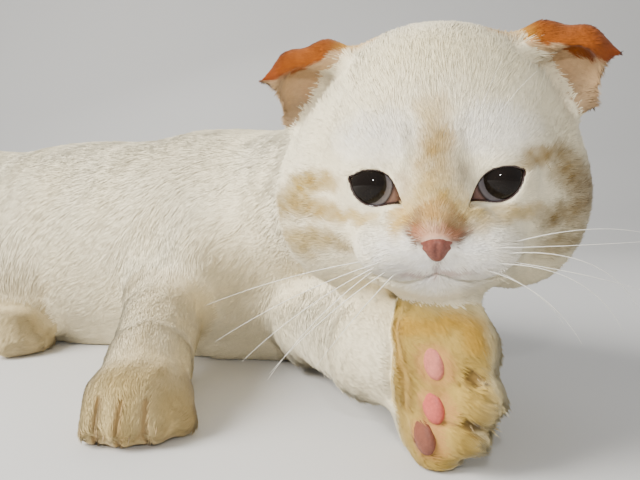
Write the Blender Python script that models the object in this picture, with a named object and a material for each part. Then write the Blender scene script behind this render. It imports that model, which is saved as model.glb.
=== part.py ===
"""A Scottish Fold cat lying on its chest, life size, out to the tips of its coat.

Metres, +Z up, with the floor at z = 0. The cat looks towards -Y and its back runs away towards -X and +Y.
Right and left are the cat's own. The flesh is modelled whole, as a distance that is negative inside the
cat, and is then parted where the head, neck, legs and tail meet the trunk.
"""

import math
from functools import partial

import bmesh
import bpy
import numpy as np
import openvdb
from mathutils import Matrix, Vector
from mathutils.bvhtree import BVHTree


def mm(*values):
    """A point or a set of sizes given in millimetres, in metres."""
    return np.array(values, dtype=np.float64) / 1000.0


def unit(vector):
    return vector / np.linalg.norm(vector)


# Driving dimensions
GAP = 0.0003                    # between touching pieces
BODY_CELL = 0.0024              # grid that the body is modelled on
HEAD_CELL = 0.0012              # finer grid for the face
EAR_CELL = 0.0009
BODY_FACES = 4600               # triangles left on the body before it is parted
HEAD_FACES = 3300
EAR_FACES = 560
REGION_SEGMENTS = (12, 8)       # round and up the balls that bound a region
EYE_SEGMENTS = (20, 12)

WITHERS = mm(60, 12, 0)         # on the floor, under the shoulders
BACK = unit(np.array([-0.895, 0.449, 0.0]))
LEFT = np.array([BACK[1], -BACK[0], 0.0])
BODY_AXES = np.stack([BACK, LEFT, [0.0, 0.0, 1.0]], axis=1)

HEAD_AT = mm(151, -123, 100)    # middle of the skull
HEAD_YAW = math.radians(-10.4)
HEAD_PITCH = math.radians(10)   # nose down
HEAD_ROLL = math.radians(-2)
HEAD_AXES = np.array(
    Matrix.Rotation(HEAD_YAW, 3, "Z")
    @ Matrix.Rotation(HEAD_PITCH, 3, "X")
    @ Matrix.Rotation(HEAD_ROLL, 3, "Y")
)

EYE_AT = mm(18.2, -33.4, -4.4)  # in the head's frame, on the cat's left
EYE_RADIUS = 0.0102
EYE_TOE_OUT = math.radians(13)  # each eye looks a little to its own side
LID_THICKNESS = 0.0016
LID_OPENING = mm(9.4, 5.2)      # half its width and height
LID_SHIFT = mm(-1.0, 0, -0.9)   # the opening's middle from the eye's, on the cat's left
LID_SLANT = math.radians(27)    # inner corner down
LID_FLARE = (0.78, 1.12)        # the opening's share of its size at the eye and outside the lids
LID_TUBE_START = 0.002          # from the middle of the eye
LID_TUBE_LENGTH = 0.018

PAW_AT = mm(147, -146, 28)      # palm of the left forepaw, which lies on its outer edge
PAW_TOES = unit(np.array([0.6, -0.75, -0.25]))
PAW_PALM = unit(np.array([-0.75, -0.62, 0.1]))
PAW_AXES = np.stack([PAW_TOES, unit(np.cross(PAW_PALM, PAW_TOES)), PAW_PALM], axis=1)


def body(behind, to_left, height):
    """A point from the withers, in millimetres: behind them, to the cat's left, and above the floor."""
    return WITHERS + BODY_AXES @ mm(behind, to_left, height)


def head(across, back, high):
    """A point from the middle of the skull, in millimetres: to the cat's left, backwards, and up."""
    return HEAD_AT + HEAD_AXES @ mm(across, back, high)


def paw(along, raised, palm):
    """A point of the left forepaw, in millimetres: along its toes, towards its inner edge, out of its palm."""
    return PAW_AT + PAW_AXES @ mm(along, raised, palm)


# Distances to simple shapes, negative inside


def ellipsoid(points, centre, radii, axes=np.eye(3)):
    local = (points - centre) @ axes
    near = np.linalg.norm(local / radii, axis=-1)
    steep = np.linalg.norm(local / radii**2, axis=-1) + 1e-9
    return near * (near - 1.0) / steep


def limb(points, start, end, start_radius, end_radius):
    """A round bar between two balls, whose radii are in millimetres."""
    run = end - start
    along = np.clip((points - start) @ run / (run @ run), 0.0, 1.0)
    middle = start + along[..., None] * run
    radius = (start_radius + (end_radius - start_radius) * along) / 1000.0
    return np.linalg.norm(points - middle, axis=-1) - radius


def join(first, second, softness):
    """Both shapes, with the crease between them filled over about this width in millimetres."""
    width = softness / 1000.0
    share = np.clip(0.5 + 0.5 * (second - first) / width, 0.0, 1.0)
    return second + (first - second) * share - width * share * (1.0 - share)


def join_all(shapes, softness):
    joined = shapes[0]
    for shape in shapes[1:]:
        joined = join(joined, shape, softness)
    return joined


def carve(shape, hollow, softness):
    return -join(-shape, hollow, softness)


# The trunk, neck and tail

# Behind the withers, to the left, height and radius
TAIL = [
    (268, 0, 44, 19),
    (292, -18, 24, 15.5),
    (296, -52, 15, 14),
    (268, -92, 12.5, 13),
    (226, -112, 12, 12.5),
    (186, -118, 11, 11),
    (160, -114, 9.5, 9),
]


def trunk_distance(points):
    chest = ellipsoid(points, body(2, 0, 58), mm(70, 52, 69), BODY_AXES)
    belly = ellipsoid(points, body(112, 0, 54), mm(108, 59, 69), BODY_AXES)
    hips = ellipsoid(points, body(214, 0, 54), mm(64, 54, 69), BODY_AXES)
    loins = limb(points, body(20, 0, 76), body(205, 0, 74), 49, 46)
    trunk = join_all([chest, belly, hips, loins], 22)
    neck = limb(points, body(-30, 2, 78), head(-6, 34, -14), 46, 45)
    ruff = ellipsoid(points, head(-22, 30, -26), mm(42, 34, 26), HEAD_AXES)
    breast = ellipsoid(points, body(-50, 4, 40), mm(32, 36, 42), BODY_AXES)
    return join_all([trunk, neck, ruff, breast], 20)


def tail_distance(points):
    lengths = []
    for (*start, start_radius), (*end, end_radius) in zip(TAIL, TAIL[1:]):
        lengths.append(limb(points, body(*start), body(*end), start_radius, end_radius))
    return join_all(lengths, 5)


# The forelegs: each joint is a place and a radius in millimetres

FORELEGS = {
    "right": {
        "shoulder": (body(-16, -36, 64), 28),
        "elbow": (body(12, -44, 34), 24),
        "wrist": (mm(41, -98, 20), 18.5),
    },
    "left": {
        "shoulder": (body(-24, 36, 64), 28),
        "elbow": (mm(106, -38, 28), 23),
        "wrist": (mm(130, -124, 31), 18.5),
    },
}

RIGHT_PAW_AT = mm(42, -117, 0)
RIGHT_PAW_AXES = np.array(Matrix.Rotation(math.radians(15), 3, "Z"))

# Across, along and radius
RIGHT_TOES = [(-14.5, -14, 6.8), (-5.2, -19, 7.4), (5.2, -19, 7.4), (14.5, -14, 6.8)]

# Along, raised and radius
LEFT_TOES = [(9, -22, 7.6), (16, -10.5, 8.4), (17, 2, 8.8), (10, 14.5, 8.8)]

# Along and raised
LEFT_PADS = [(7.5, -15.8), (6.7, -4.8), (2.5, 8.5)]

# Along, raised and out of the palm: the crease between the palm and the forearm
CREASE = [(-19, 17, 9), (-15, 12, 11.5), (-9.5, 6, 13.5), (-8, -2, 12.5), (-8, -11, 9)]


def foreleg_distance(points, side):
    leg = FORELEGS[side]
    shoulder, shoulder_radius = leg["shoulder"]
    elbow, elbow_radius = leg["elbow"]
    wrist, wrist_radius = leg["wrist"]
    upper = limb(points, shoulder, elbow, shoulder_radius, elbow_radius)
    lower = limb(points, elbow, wrist, elbow_radius - 1, wrist_radius)
    return join(upper, lower, 10)


def right_forepaw_distance(points):
    """The right forepaw, flat on the floor."""

    def at(across, along, height):
        return RIGHT_PAW_AT + RIGHT_PAW_AXES @ mm(across, along, height)

    back = ellipsoid(points, at(0, 2, 12.5), mm(20, 24, 15), RIGHT_PAW_AXES)
    toes = []
    for across, along, radius in RIGHT_TOES:
        knuckle = at(across * 0.85, along + 12, 13)
        tip = at(across, along, radius - 0.8)
        toes.append(limb(points, knuckle, tip, radius + 0.4, radius))
    return join(back, join_all(toes, 2), 5)


def left_forepaw_distance(points):
    """The left forepaw, on its outer edge, with its pads towards the right one."""
    back = ellipsoid(points, paw(-1, 1, -2), mm(19, 26, 12.5), PAW_AXES)
    heel = limb(points, FORELEGS["left"]["wrist"][0], paw(-8, 4, -2), 18.5, 17)
    dewclaw = ellipsoid(points, paw(-1, 21, 1), mm(13, 8, 9), PAW_AXES)
    toes = []
    for along, raised, radius in LEFT_TOES:
        knuckle = paw(along - 10, raised * 0.9, -4)
        tip = paw(along + 2, raised, 1)
        toes.append(limb(points, knuckle, tip, radius + 1, radius))
    hand = join_all([back, heel, dewclaw], 8)
    hand = join(hand, join_all(toes, 3), 5)
    for along, raised in LEFT_PADS:
        pad = ellipsoid(points, paw(along, raised, 9), mm(5.6, 4.8, 3.2), PAW_AXES)
        hand = join(hand, pad, 1.5)
    lengths = [limb(points, paw(*start), paw(*end), 1.6, 1.6) for start, end in zip(CREASE, CREASE[1:])]
    return carve(hand, join_all(lengths, 1), 2)


# The hind legs, folded at either side of the hips

HEEL_BEHIND = 192
TOES_BEHIND = 92
FOOT_OUT = 66
HIND_TOES = (-10.8, -3.7, 3.7, 10.8)    # across the foot


def hindleg_distance(points, side):
    out = side * FOOT_OUT
    thigh = ellipsoid(points, body(172, side * 36, 52), mm(58, 31, 50), BODY_AXES)
    knee = ellipsoid(points, body(126, side * 50, 42), mm(26, 18, 34), BODY_AXES)
    calf = limb(points, body(HEEL_BEHIND - 2, side * 60, 27), body(142, side * 54, 44), 14, 21)
    heel = body(HEEL_BEHIND, out, 14)
    ball = body(TOES_BEHIND + 14, out, 12)
    foot = limb(points, heel, ball, 14, 12.5)
    toes = []
    for across in HIND_TOES:
        reach = TOES_BEHIND + abs(across) * 0.45
        knuckle = body(reach + 13, out + across * 0.85, 13)
        tip = body(reach, out + across, 6.2)
        toes.append(limb(points, knuckle, tip, 7, 6.8))
    lower = join(foot, join_all(toes, 1.5), 4)
    return join(join_all([thigh, knee, calf], 14), lower, 6)


# The head


def face_distance(points):
    local = (points - HEAD_AT) @ HEAD_AXES
    folded = np.concatenate([np.abs(local[..., :1]), local[..., 1:]], axis=-1)
    skull = ellipsoid(local, mm(0, 8, 12), mm(45, 50, 37.2))
    right_cheek = ellipsoid(local, mm(-28, 2, -14), mm(33, 35, 36))
    left_cheek = ellipsoid(local, mm(24.5, 2, -14), mm(30.5, 35, 36))
    face = join_all([skull, right_cheek, left_cheek], 12)
    brow = ellipsoid(folded, mm(16, -29, 8), mm(16, 11, 8))
    under_eye = ellipsoid(folded, mm(22, -28, -16), mm(14, 12, 8))
    muzzle = ellipsoid(local, mm(0, -34, -17.5), mm(27.5, 22, 19))
    jaw = ellipsoid(local, mm(0, -25, -31), mm(27, 20, 12))
    face = join_all([face, brow, under_eye, muzzle, jaw], 9)
    bridge = limb(local, mm(0, -36, 3), mm(0, -52, -13), 9, 6.2)
    face = join(face, bridge, 6)
    lids = ellipsoid(folded, EYE_AT, np.full(3, EYE_RADIUS + LID_THICKNESS))
    face = join(face, lids, 3)
    whisker_pad = ellipsoid(folded, mm(11, -46.5, -22), mm(14, 12, 8.8))
    face = join(face, whisker_pad, 4)
    chin = ellipsoid(local, mm(0, -42.5, -32), mm(13, 9, 6.4))
    face = join(face, chin, 3)
    nose = ellipsoid(local, mm(0, -56.5, -16.5), mm(6, 4.6, 4.2))
    face = join(face, nose, 2.5)
    philtrum = limb(local, mm(0, -61.5, -20), mm(0, -59.5, -26.5), 1.1, 1.1)
    face = carve(face, philtrum, 1.6)
    return carve(face, ear_cup_distance(folded), 2)


def ear_cup_distance(local):
    """The hollow of the left ear, under its fold, and the slot where it opens beside the face."""
    slot = limb(local, mm(31, -14.5, 33), mm(46.5, -9, 18), 3.8, 3.4)
    cup = ellipsoid(local, mm(43.5, -6, 27), mm(8.5, 7, 8.5))
    return join(slot, cup, 4)


def ear_distance(points, side):
    """An ear folded forwards over its own cup. side is 1 on the cat's left and -1 on its right."""
    local = (points - HEAD_AT) @ HEAD_AXES * [side, 1, 1]
    inner_ridge = limb(local, mm(20, -3, 36.5), mm(36, -3, 38.6), 3.0, 5.0)
    outer_ridge = limb(local, mm(36, -3, 38.6), mm(49, -4, 36.2), 5.0, 4.6)
    tip = limb(local, mm(49, -4, 36.2), mm(60, -7, 30.6), 4.6, 1.4)
    rim = limb(local, mm(30, -9, 36.6), mm(50, -9, 33.6), 2.6, 2.6)
    ridge = join_all([inner_ridge, outer_ridge, tip, rim], 4)
    margin = limb(local, mm(52, -5, 32), mm(50, -3, 15), 3.4, 2.8)
    root = ellipsoid(local, mm(39, 3, 25.5), mm(13, 9, 13))
    ear = join_all([ridge, margin, root], 4)
    return carve(ear, ear_cup_distance(local), 1.5)


# The flesh, whole


def headed_trunk_distance(points):
    return join(trunk_distance(points), face_distance(points), 12)


def cat_distance(points):
    cat = headed_trunk_distance(points)
    right_leg = join(foreleg_distance(points, "right"), right_forepaw_distance(points), 5)
    left_leg = join(foreleg_distance(points, "left"), left_forepaw_distance(points), 5)
    cat = join(cat, right_leg, 9)
    cat = join(cat, left_leg, 4)
    for side in (-1, 1):
        cat = join(cat, hindleg_distance(points, side), 10)
    return join(cat, tail_distance(points), 6)


# Meshes and cuts


def surface_mesh(name, distance, low, high, cell):
    """The closed surface where the distance is nought, read on a box of cubic cells."""
    counts = np.ceil((high - low) / cell).astype(int) + 1
    steps = [low[axis] + cell * np.arange(counts[axis]) for axis in range(3)]
    values = []
    for x in steps[0]:
        layer = np.stack(np.meshgrid([x], steps[1], steps[2], indexing="ij"), axis=-1)
        values.append(distance(layer))
    grid = openvdb.FloatGrid(1.0)
    grid.copyFromArray(np.concatenate(values).astype(np.float32))
    corners, quads = grid.convertToQuads(0.0)
    mesh = bpy.data.meshes.new(name)
    mesh.from_pydata(corners * cell + low, [], quads)
    return mesh


def mesh_from(name, shape):
    """A mesh data block from a bmesh, which is then freed."""
    mesh = bpy.data.meshes.new(name)
    shape.to_mesh(mesh)
    shape.free()
    return mesh


def add_object(name, mesh, collection):
    obj = bpy.data.objects.new(name, mesh)
    collection.objects.link(obj)
    return obj


def add_cutter(name, mesh, collection):
    obj = add_object(name, mesh, collection)
    obj.hide_render = True
    obj.display_type = "WIRE"
    return obj


def apply_modifiers(obj):
    graph = bpy.context.evaluated_depsgraph_get()
    mesh = bpy.data.meshes.new_from_object(obj.evaluated_get(graph), depsgraph=graph)
    obj.modifiers.clear()
    old = obj.data
    obj.data = mesh
    bpy.data.meshes.remove(old)


def thin_out(obj, faces):
    """Leaves this many triangles, the fewest where the surface is flattest."""
    obj.data.calc_loop_triangles()
    decimate = obj.modifiers.new("Decimate", "DECIMATE")
    decimate.ratio = faces / len(obj.data.loop_triangles)
    decimate.use_collapse_triangulate = True
    apply_modifiers(obj)


def combine(obj, other, operation):
    boolean = obj.modifiers.new(operation.title(), "BOOLEAN")
    boolean.operation = operation
    boolean.object = other
    apply_modifiers(obj)
    keep_largest(obj)


def keep_largest(obj):
    """Drops the loose scraps and the sealed hollows that a cut leaves."""
    shape = bmesh.new()
    shape.from_mesh(obj.data)
    unseen = set(shape.faces)
    shells = []
    while unseen:
        front = [unseen.pop()]
        shell = list(front)
        while front:
            for edge in front.pop().edges:
                for face in edge.link_faces:
                    if face in unseen:
                        unseen.remove(face)
                        shell.append(face)
                        front.append(face)
        shells.append(shell)
    shells.sort(key=lambda shell: sum(face.calc_area() for face in shell))
    for shell in shells[:-1]:
        bmesh.ops.delete(shape, geom=shell, context="FACES")
    shape.to_mesh(obj.data)
    shape.free()


def keep_clear(obj, neighbour, cutters):
    """Cuts an object back to a gap from its neighbour."""
    grown = add_cutter(f"{neighbour.name}_grown", neighbour.data.copy(), cutters)
    displace = grown.modifiers.new("Displace", "DISPLACE")
    displace.mid_level = 0.0
    displace.strength = 1.3 * GAP
    apply_modifiers(grown)
    combine(obj, grown, "DIFFERENCE")
    bpy.data.objects.remove(grown)


def hull_of_balls(balls, grown):
    """A convex region around balls, each a place and a radius in millimetres."""
    shape = bmesh.new()
    for centre, radius in balls:
        bmesh.ops.create_uvsphere(
            shape,
            u_segments=REGION_SEGMENTS[0],
            v_segments=REGION_SEGMENTS[1],
            radius=radius / 1000.0 + grown,
            matrix=Matrix.Translation(centre),
        )
    hull = bmesh.ops.convex_hull(shape, input=shape.verts, use_existing_faces=False)
    inner = [item for item in hull["geom_interior"] if isinstance(item, bmesh.types.BMVert)]
    bmesh.ops.delete(shape, geom=inner, context="VERTS")
    kept = set(item for item in hull["geom"] if isinstance(item, bmesh.types.BMFace))
    spare = [face for face in shape.faces if face not in kept]
    bmesh.ops.delete(shape, geom=spare, context="FACES_ONLY")
    bmesh.ops.recalc_face_normals(shape, faces=shape.faces)
    return shape


def drum(centre, facing, radius, depth, grown):
    """A flat-ended cylinder that starts at the centre and runs the way it faces, in millimetres."""
    middle = Vector(centre) + Vector(facing) * (depth / 2000.0)
    turn = Vector(facing).to_track_quat("Z", "Y").to_matrix().to_4x4()
    shape = bmesh.new()
    bmesh.ops.create_cone(
        shape,
        cap_ends=True,
        segments=32,
        radius1=radius / 1000.0 + grown,
        radius2=radius / 1000.0 + grown,
        depth=depth / 1000.0 + 2 * grown,
        matrix=Matrix.Translation(middle) @ turn,
    )
    return shape


# Where the flesh is parted

NECK_RUN = unit(body(-30, 2, 78) - HEAD_AT)  # from the skull down the neck
SKULL_TO_NECK = 0.042
NECK_BASE = mm(99, -14, 92)
NECK_BASE_FACING = unit(np.array([0.35, -0.75, 0.56]))


def head_region(grown):
    return drum(HEAD_AT + NECK_RUN * SKULL_TO_NECK, -NECK_RUN, 100, 125, grown)


def neck_region(grown):
    return drum(NECK_BASE, NECK_BASE_FACING, 90, 110, grown)


def right_lower_foreleg_region(grown):
    leg = FORELEGS["right"]
    balls = [
        (leg["elbow"][0] + mm(0, -6, -4), 26),
        (leg["wrist"][0], 23),
        (RIGHT_PAW_AT + mm(0, -4, 14), 36),
    ]
    return hull_of_balls(balls, grown)


def right_upper_foreleg_region(grown):
    return hull_of_balls([(body(-18, -56, 68), 34), (body(14, -58, 34), 30)], grown)


def left_lower_foreleg_region(grown):
    leg = FORELEGS["left"]
    balls = [
        (leg["elbow"][0], 25),
        (leg["wrist"][0], 22),
        (paw(-6, 0, -2), 28.5),
        (paw(10, -18, 0), 24),
        (paw(14, 4, 0), 24),
    ]
    return hull_of_balls(balls, grown)


def left_upper_foreleg_region(grown):
    return hull_of_balls([(body(-22, 56, 68), 34), (body(4, 58, 42), 30)], grown)


def forepaw_region(side, grown):
    leg = FORELEGS[side]
    run = unit(leg["wrist"][0] - leg["elbow"][0])
    return drum(leg["wrist"][0] - 0.002 * run, run, 60, 90, grown)


def hind_foot_region(side, grown):
    out = side * (FOOT_OUT + 2)
    balls = [(body(HEEL_BEHIND, out, 12), 18), (body(TOES_BEHIND + 8, out, 11), 22)]
    return hull_of_balls(balls, grown)


def thigh_region(side, grown):
    balls = [
        (body(194, side * 72, 54), 42),
        (body(158, side * 72, 60), 44),
        (body(126, side * 68, 44), 36),
    ]
    return hull_of_balls(balls, grown)


def tail_region(first, last, grown):
    balls = [(body(*place), radius + 3) for *place, radius in TAIL[first : last + 1]]
    return hull_of_balls(balls, grown)


def cut_away(whole, name, shape, cutters, operation="DIFFERENCE"):
    """Cuts with a shape, which is then let go."""
    cutter = add_cutter(name, mesh_from(name, shape), cutters)
    combine(whole, cutter, operation)
    bpy.data.objects.remove(cutter)


def part_off(whole, name, region, parts, cutters):
    """Takes what lies in a region off the whole as a piece of its own, a gap away from the rest."""
    piece = add_object(name, whole.data.copy(), parts)
    cut_away(piece, f"{name}_inside", region(grown=0.0), cutters, "INTERSECT")
    cut_away(whole, f"{name}_outside", region(grown=GAP), cutters)
    return piece


# Openings in the face

MOUTH = [(-17, -31), (-12, -31.4), (-8, -30.6), (-3.2, -28.9), (0, -27.2)]  # across and high, right half
MOUTH_RADIUS = 0.0009
NOSTRIL_AT = (2.7, -17.4)       # across and high
NOSTRIL_RADII = mm(1.2, 2.0, 0.9)


def on_face(tree, across, high):
    """Where a line straight back through this place meets the face, in the head's frame."""
    start = mm(across, -90, high)
    hit = tree.ray_cast(Vector(start), Vector((0.0, 1.0, 0.0)))[0]
    return np.array(hit)


def lid_opening_shape(side):
    """A tube of almond section, from inside the eye out through the lids, in the head's frame."""
    shape = bmesh.new()
    inner, outer = LID_FLARE
    bmesh.ops.create_cone(shape, cap_ends=True, segments=28, radius1=inner, radius2=outer, depth=1.0)
    width, height = LID_OPENING
    sizes = Matrix.Diagonal((width, height, LID_TUBE_LENGTH, 1.0))
    slant = Matrix.Rotation(side * LID_SLANT, 4, "Z")
    forwards = Matrix.Rotation(math.radians(90), 4, "X")
    toe_out = Matrix.Rotation(side * EYE_TOE_OUT, 4, "Z")
    place = Matrix.Translation((EYE_AT + LID_SHIFT) * [side, 1, 1])
    start = Matrix.Translation((0, 0, LID_TUBE_LENGTH / 2 + LID_TUBE_START))
    bmesh.ops.transform(shape, matrix=place @ toe_out @ forwards @ slant @ start @ sizes, verts=shape.verts)
    return shape


def mouth_line_mesh(tree, collection):
    """A thin round bar bent along the line between the lips."""
    places = MOUTH + [(-across, high) for across, high in reversed(MOUTH[:-1])]
    curve = bpy.data.curves.new("mouth_line", "CURVE")
    curve.dimensions = "3D"
    curve.bevel_depth = MOUTH_RADIUS
    curve.bevel_resolution = 2
    curve.use_fill_caps = True
    spline = curve.splines.new("POLY")
    spline.points.add(len(places) - 1)
    for point, (across, high) in zip(spline.points, places):
        point.co = (*on_face(tree, across, high), 1.0)
    guide = add_object("mouth_line", curve, collection)
    graph = bpy.context.evaluated_depsgraph_get()
    mesh = bpy.data.meshes.new_from_object(guide.evaluated_get(graph), depsgraph=graph)
    bpy.data.objects.remove(guide)
    shape = bmesh.new()
    shape.from_mesh(mesh)
    bmesh.ops.remove_doubles(shape, verts=shape.verts, dist=1e-5)
    bmesh.ops.recalc_face_normals(shape, faces=shape.faces)
    return mesh_from("mouth_line", shape)


def cut_face(skull, cutters):
    """Opens the eye sockets, the lids, the nostrils and the line of the mouth."""
    to_world = Matrix.Translation(HEAD_AT) @ Matrix(HEAD_AXES).to_4x4()
    shape = bmesh.new()
    shape.from_mesh(skull.data)
    shape.transform(to_world.inverted())
    tree = BVHTree.FromBMesh(shape)
    shape.free()
    openings = []
    for side in (-1, 1):
        socket = bmesh.new()
        bmesh.ops.create_uvsphere(
            socket,
            u_segments=EYE_SEGMENTS[0],
            v_segments=EYE_SEGMENTS[1],
            radius=EYE_RADIUS + GAP,
            matrix=Matrix.Translation(EYE_AT * [side, 1, 1]),
        )
        openings.append(("lids", mesh_from("lids", lid_opening_shape(side))))
        openings.append(("socket", mesh_from("socket", socket)))
        nostril = bmesh.new()
        across, high = NOSTRIL_AT
        bmesh.ops.create_uvsphere(
            nostril,
            u_segments=10,
            v_segments=6,
            radius=1.0,
            matrix=Matrix.Translation(on_face(tree, side * across, high))
            @ Matrix.Diagonal((*NOSTRIL_RADII, 1.0)),
        )
        openings.append(("nostril", mesh_from("nostril", nostril)))
    openings.append(("mouth", mouth_line_mesh(tree, cutters)))
    for name, mesh in openings:
        cutter = add_cutter(name, mesh, cutters)
        cutter.matrix_world = to_world
        bpy.context.view_layer.update()
        combine(skull, cutter, "DIFFERENCE")
        bpy.data.objects.remove(cutter)


# Materials

COLOURS = {
    "cream": (0.78, 0.72, 0.58),
    "warm cream": (0.74, 0.64, 0.44),
    "ginger": (0.52, 0.17, 0.04),
    "eye": (0.015, 0.014, 0.014),
}
WARM_PIECES = ("forepaw_right", "forepaw_left", "hind_foot_right", "hind_foot_left")
COAT_ROUGHNESS = 0.85
EYE_ROUGHNESS = 0.08


def colour_of(name):
    if name.startswith("eye"):
        return "eye"
    if name.startswith("ear"):
        return "ginger"
    return "warm cream" if name in WARM_PIECES else "cream"


def finish(obj):
    colour = colour_of(obj.name)
    material = bpy.data.materials.new(obj.name)
    material.use_nodes = True
    shader = material.node_tree.nodes["Principled BSDF"]
    shader.inputs["Base Color"].default_value = (*COLOURS[colour], 1.0)
    shader.inputs["Roughness"].default_value = EYE_ROUGHNESS if colour == "eye" else COAT_ROUGHNESS
    shader.inputs["Metallic"].default_value = 0.0
    obj.data.materials.clear()
    obj.data.materials.append(material)
    obj.data.shade_smooth()


# The cat, put together


def clear_scene():
    for obj in list(bpy.data.objects):
        bpy.data.objects.remove(obj)


def new_collection(name):
    collection = bpy.data.collections.new(name)
    bpy.context.scene.collection.children.link(collection)
    return collection


def floor_slab():
    """All that lies under the floor."""
    shape = bmesh.new()
    bmesh.ops.create_cube(shape, size=1.0, matrix=Matrix.Translation((0, 0, -0.5)))
    return shape


def make_head(parts, cutters):
    low, high = HEAD_AT - mm(95, 85, 75), HEAD_AT + mm(95, 125, 75)
    skull = add_object("head", surface_mesh("head", headed_trunk_distance, low, high, HEAD_CELL), parts)
    cut_away(skull, "head_inside", head_region(0.0), cutters, "INTERSECT")
    thin_out(skull, HEAD_FACES)
    return skull


def make_eye(name, side, parts):
    shape = bmesh.new()
    bmesh.ops.create_uvsphere(
        shape, u_segments=EYE_SEGMENTS[0], v_segments=EYE_SEGMENTS[1], radius=EYE_RADIUS
    )
    eye = add_object(name, mesh_from(name, shape), parts)
    eye.location = HEAD_AT + HEAD_AXES @ (EYE_AT * [side, 1, 1])
    return eye


def make_ear(name, side, skull, parts, cutters):
    middle = head(side * 40, 0, 26)
    reach = mm(34, 26, 30)
    mesh = surface_mesh(name, partial(ear_distance, side=side), middle - reach, middle + reach, EAR_CELL)
    ear = add_object(name, mesh, parts)
    thin_out(ear, EAR_FACES)
    keep_clear(ear, skull, cutters)
    return ear


def centre_on_floor(parts):
    """Moves the cat so that the middle of its outline on the floor is the origin."""
    bpy.context.view_layer.update()
    corners = [obj.matrix_world @ Vector(corner) for obj in parts.objects for corner in obj.bound_box]
    middle_x = (min(c.x for c in corners) + max(c.x for c in corners)) / 2
    middle_y = (min(c.y for c in corners) + max(c.y for c in corners)) / 2
    for obj in parts.objects:
        obj.location.x -= middle_x
        obj.location.y -= middle_y


def build():
    clear_scene()
    parts = new_collection("Scottish Fold Cat")
    cutters = new_collection("Cutters")
    mesh = surface_mesh("torso", cat_distance, mm(-245, -185, -8), mm(225, 200, 165), BODY_CELL)
    torso = add_object("torso", mesh, parts)
    thin_out(torso, BODY_FACES)
    cut_away(torso, "under_floor", floor_slab(), cutters)

    left_leg = part_off(torso, "foreleg_left", left_lower_foreleg_region, parts, cutters)
    left_paw = part_off(left_leg, "forepaw_left", partial(forepaw_region, "left"), parts, cutters)
    cut_away(torso, "rough_head", head_region(GAP), cutters)
    part_off(torso, "neck", neck_region, parts, cutters)
    right_leg = part_off(torso, "foreleg_right", right_lower_foreleg_region, parts, cutters)
    part_off(right_leg, "forepaw_right", partial(forepaw_region, "right"), parts, cutters)
    part_off(torso, "upper_foreleg_right", right_upper_foreleg_region, parts, cutters)
    part_off(torso, "upper_foreleg_left", left_upper_foreleg_region, parts, cutters)
    for name, side in (("right", -1), ("left", 1)):
        part_off(torso, f"hind_foot_{name}", partial(hind_foot_region, side), parts, cutters)
        part_off(torso, f"thigh_{name}", partial(thigh_region, side), parts, cutters)
    part_off(torso, "tail_tip", partial(tail_region, 4, 6), parts, cutters)
    part_off(torso, "tail_middle", partial(tail_region, 2, 4), parts, cutters)
    part_off(torso, "tail_base", partial(tail_region, 1, 2), parts, cutters)

    skull = make_head(parts, cutters)
    for piece in (left_leg, left_paw):
        keep_clear(piece, skull, cutters)
    for name, side in (("right", -1), ("left", 1)):
        make_ear(f"ear_{name}", side, skull, parts, cutters)
        make_eye(f"eye_{name}", side, parts)
    cut_face(skull, cutters)
    for obj in parts.objects:
        finish(obj)
    centre_on_floor(parts)


build()
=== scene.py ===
"""The looks of a life-size Scottish Fold cat that lies on its chest, out to the tips of its coat."""

import math

import bmesh
import bpy
import numpy as np
import openvdb
from mathutils import Matrix, Vector
from mathutils.bvhtree import BVHTree


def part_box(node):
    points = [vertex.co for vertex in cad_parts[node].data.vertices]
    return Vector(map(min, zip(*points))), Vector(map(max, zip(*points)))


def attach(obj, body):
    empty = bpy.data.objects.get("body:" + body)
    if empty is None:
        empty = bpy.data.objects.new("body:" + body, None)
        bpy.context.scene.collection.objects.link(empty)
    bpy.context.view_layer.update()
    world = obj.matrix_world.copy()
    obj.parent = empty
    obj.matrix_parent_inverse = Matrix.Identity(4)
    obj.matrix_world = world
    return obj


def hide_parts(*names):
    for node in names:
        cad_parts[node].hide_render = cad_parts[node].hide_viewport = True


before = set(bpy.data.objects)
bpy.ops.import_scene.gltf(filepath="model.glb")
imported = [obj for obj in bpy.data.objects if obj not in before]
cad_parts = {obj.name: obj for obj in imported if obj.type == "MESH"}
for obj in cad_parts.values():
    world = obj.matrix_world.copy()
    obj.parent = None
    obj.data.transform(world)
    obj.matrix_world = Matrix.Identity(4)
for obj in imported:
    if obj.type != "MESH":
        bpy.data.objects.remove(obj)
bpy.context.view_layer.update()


# The head's own axes
# Every feature of the face is placed from the middle of the skull, which lies behind the two eyes.
# The head is turned a little to the cat's right, tipped forwards and leant over.

def mm(*values):
    """Lengths given in millimetres, in metres."""
    return np.array(values, dtype=np.float64) / 1000.0


def unit(vectors):
    length = np.linalg.norm(vectors, axis=-1, keepdims=True)
    return vectors / np.maximum(length, 1e-12)


def middle_of(node):
    low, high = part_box(node)
    return np.array((low + high) / 2)


HEAD_YAW = math.radians(-10.4)
HEAD_PITCH = math.radians(10)
HEAD_ROLL = math.radians(-2)
HEAD_AXES = np.array(
    Matrix.Rotation(HEAD_YAW, 3, "Z")
    @ Matrix.Rotation(HEAD_PITCH, 3, "X")
    @ Matrix.Rotation(HEAD_ROLL, 3, "Y")
)
EYES_FROM_SKULL = mm(0, -33.4, -4.4)
EYE_AT = mm(18.2, -33.4, -4.4)
EYE_BALL = {name: middle_of(f"eye_{name}") for name in ("right", "left")}
SIDES = {"right": -1, "left": 1}
EYE_RADIUS = (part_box("eye_left")[1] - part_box("eye_left")[0]).z / 2
SKULL = (EYE_BALL["right"] + EYE_BALL["left"]) / 2 - HEAD_AXES @ EYES_FROM_SKULL


def in_head(points):
    """Points as across to the cat's left, backwards and up from the middle of the skull."""
    return (points - SKULL) @ HEAD_AXES


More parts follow.
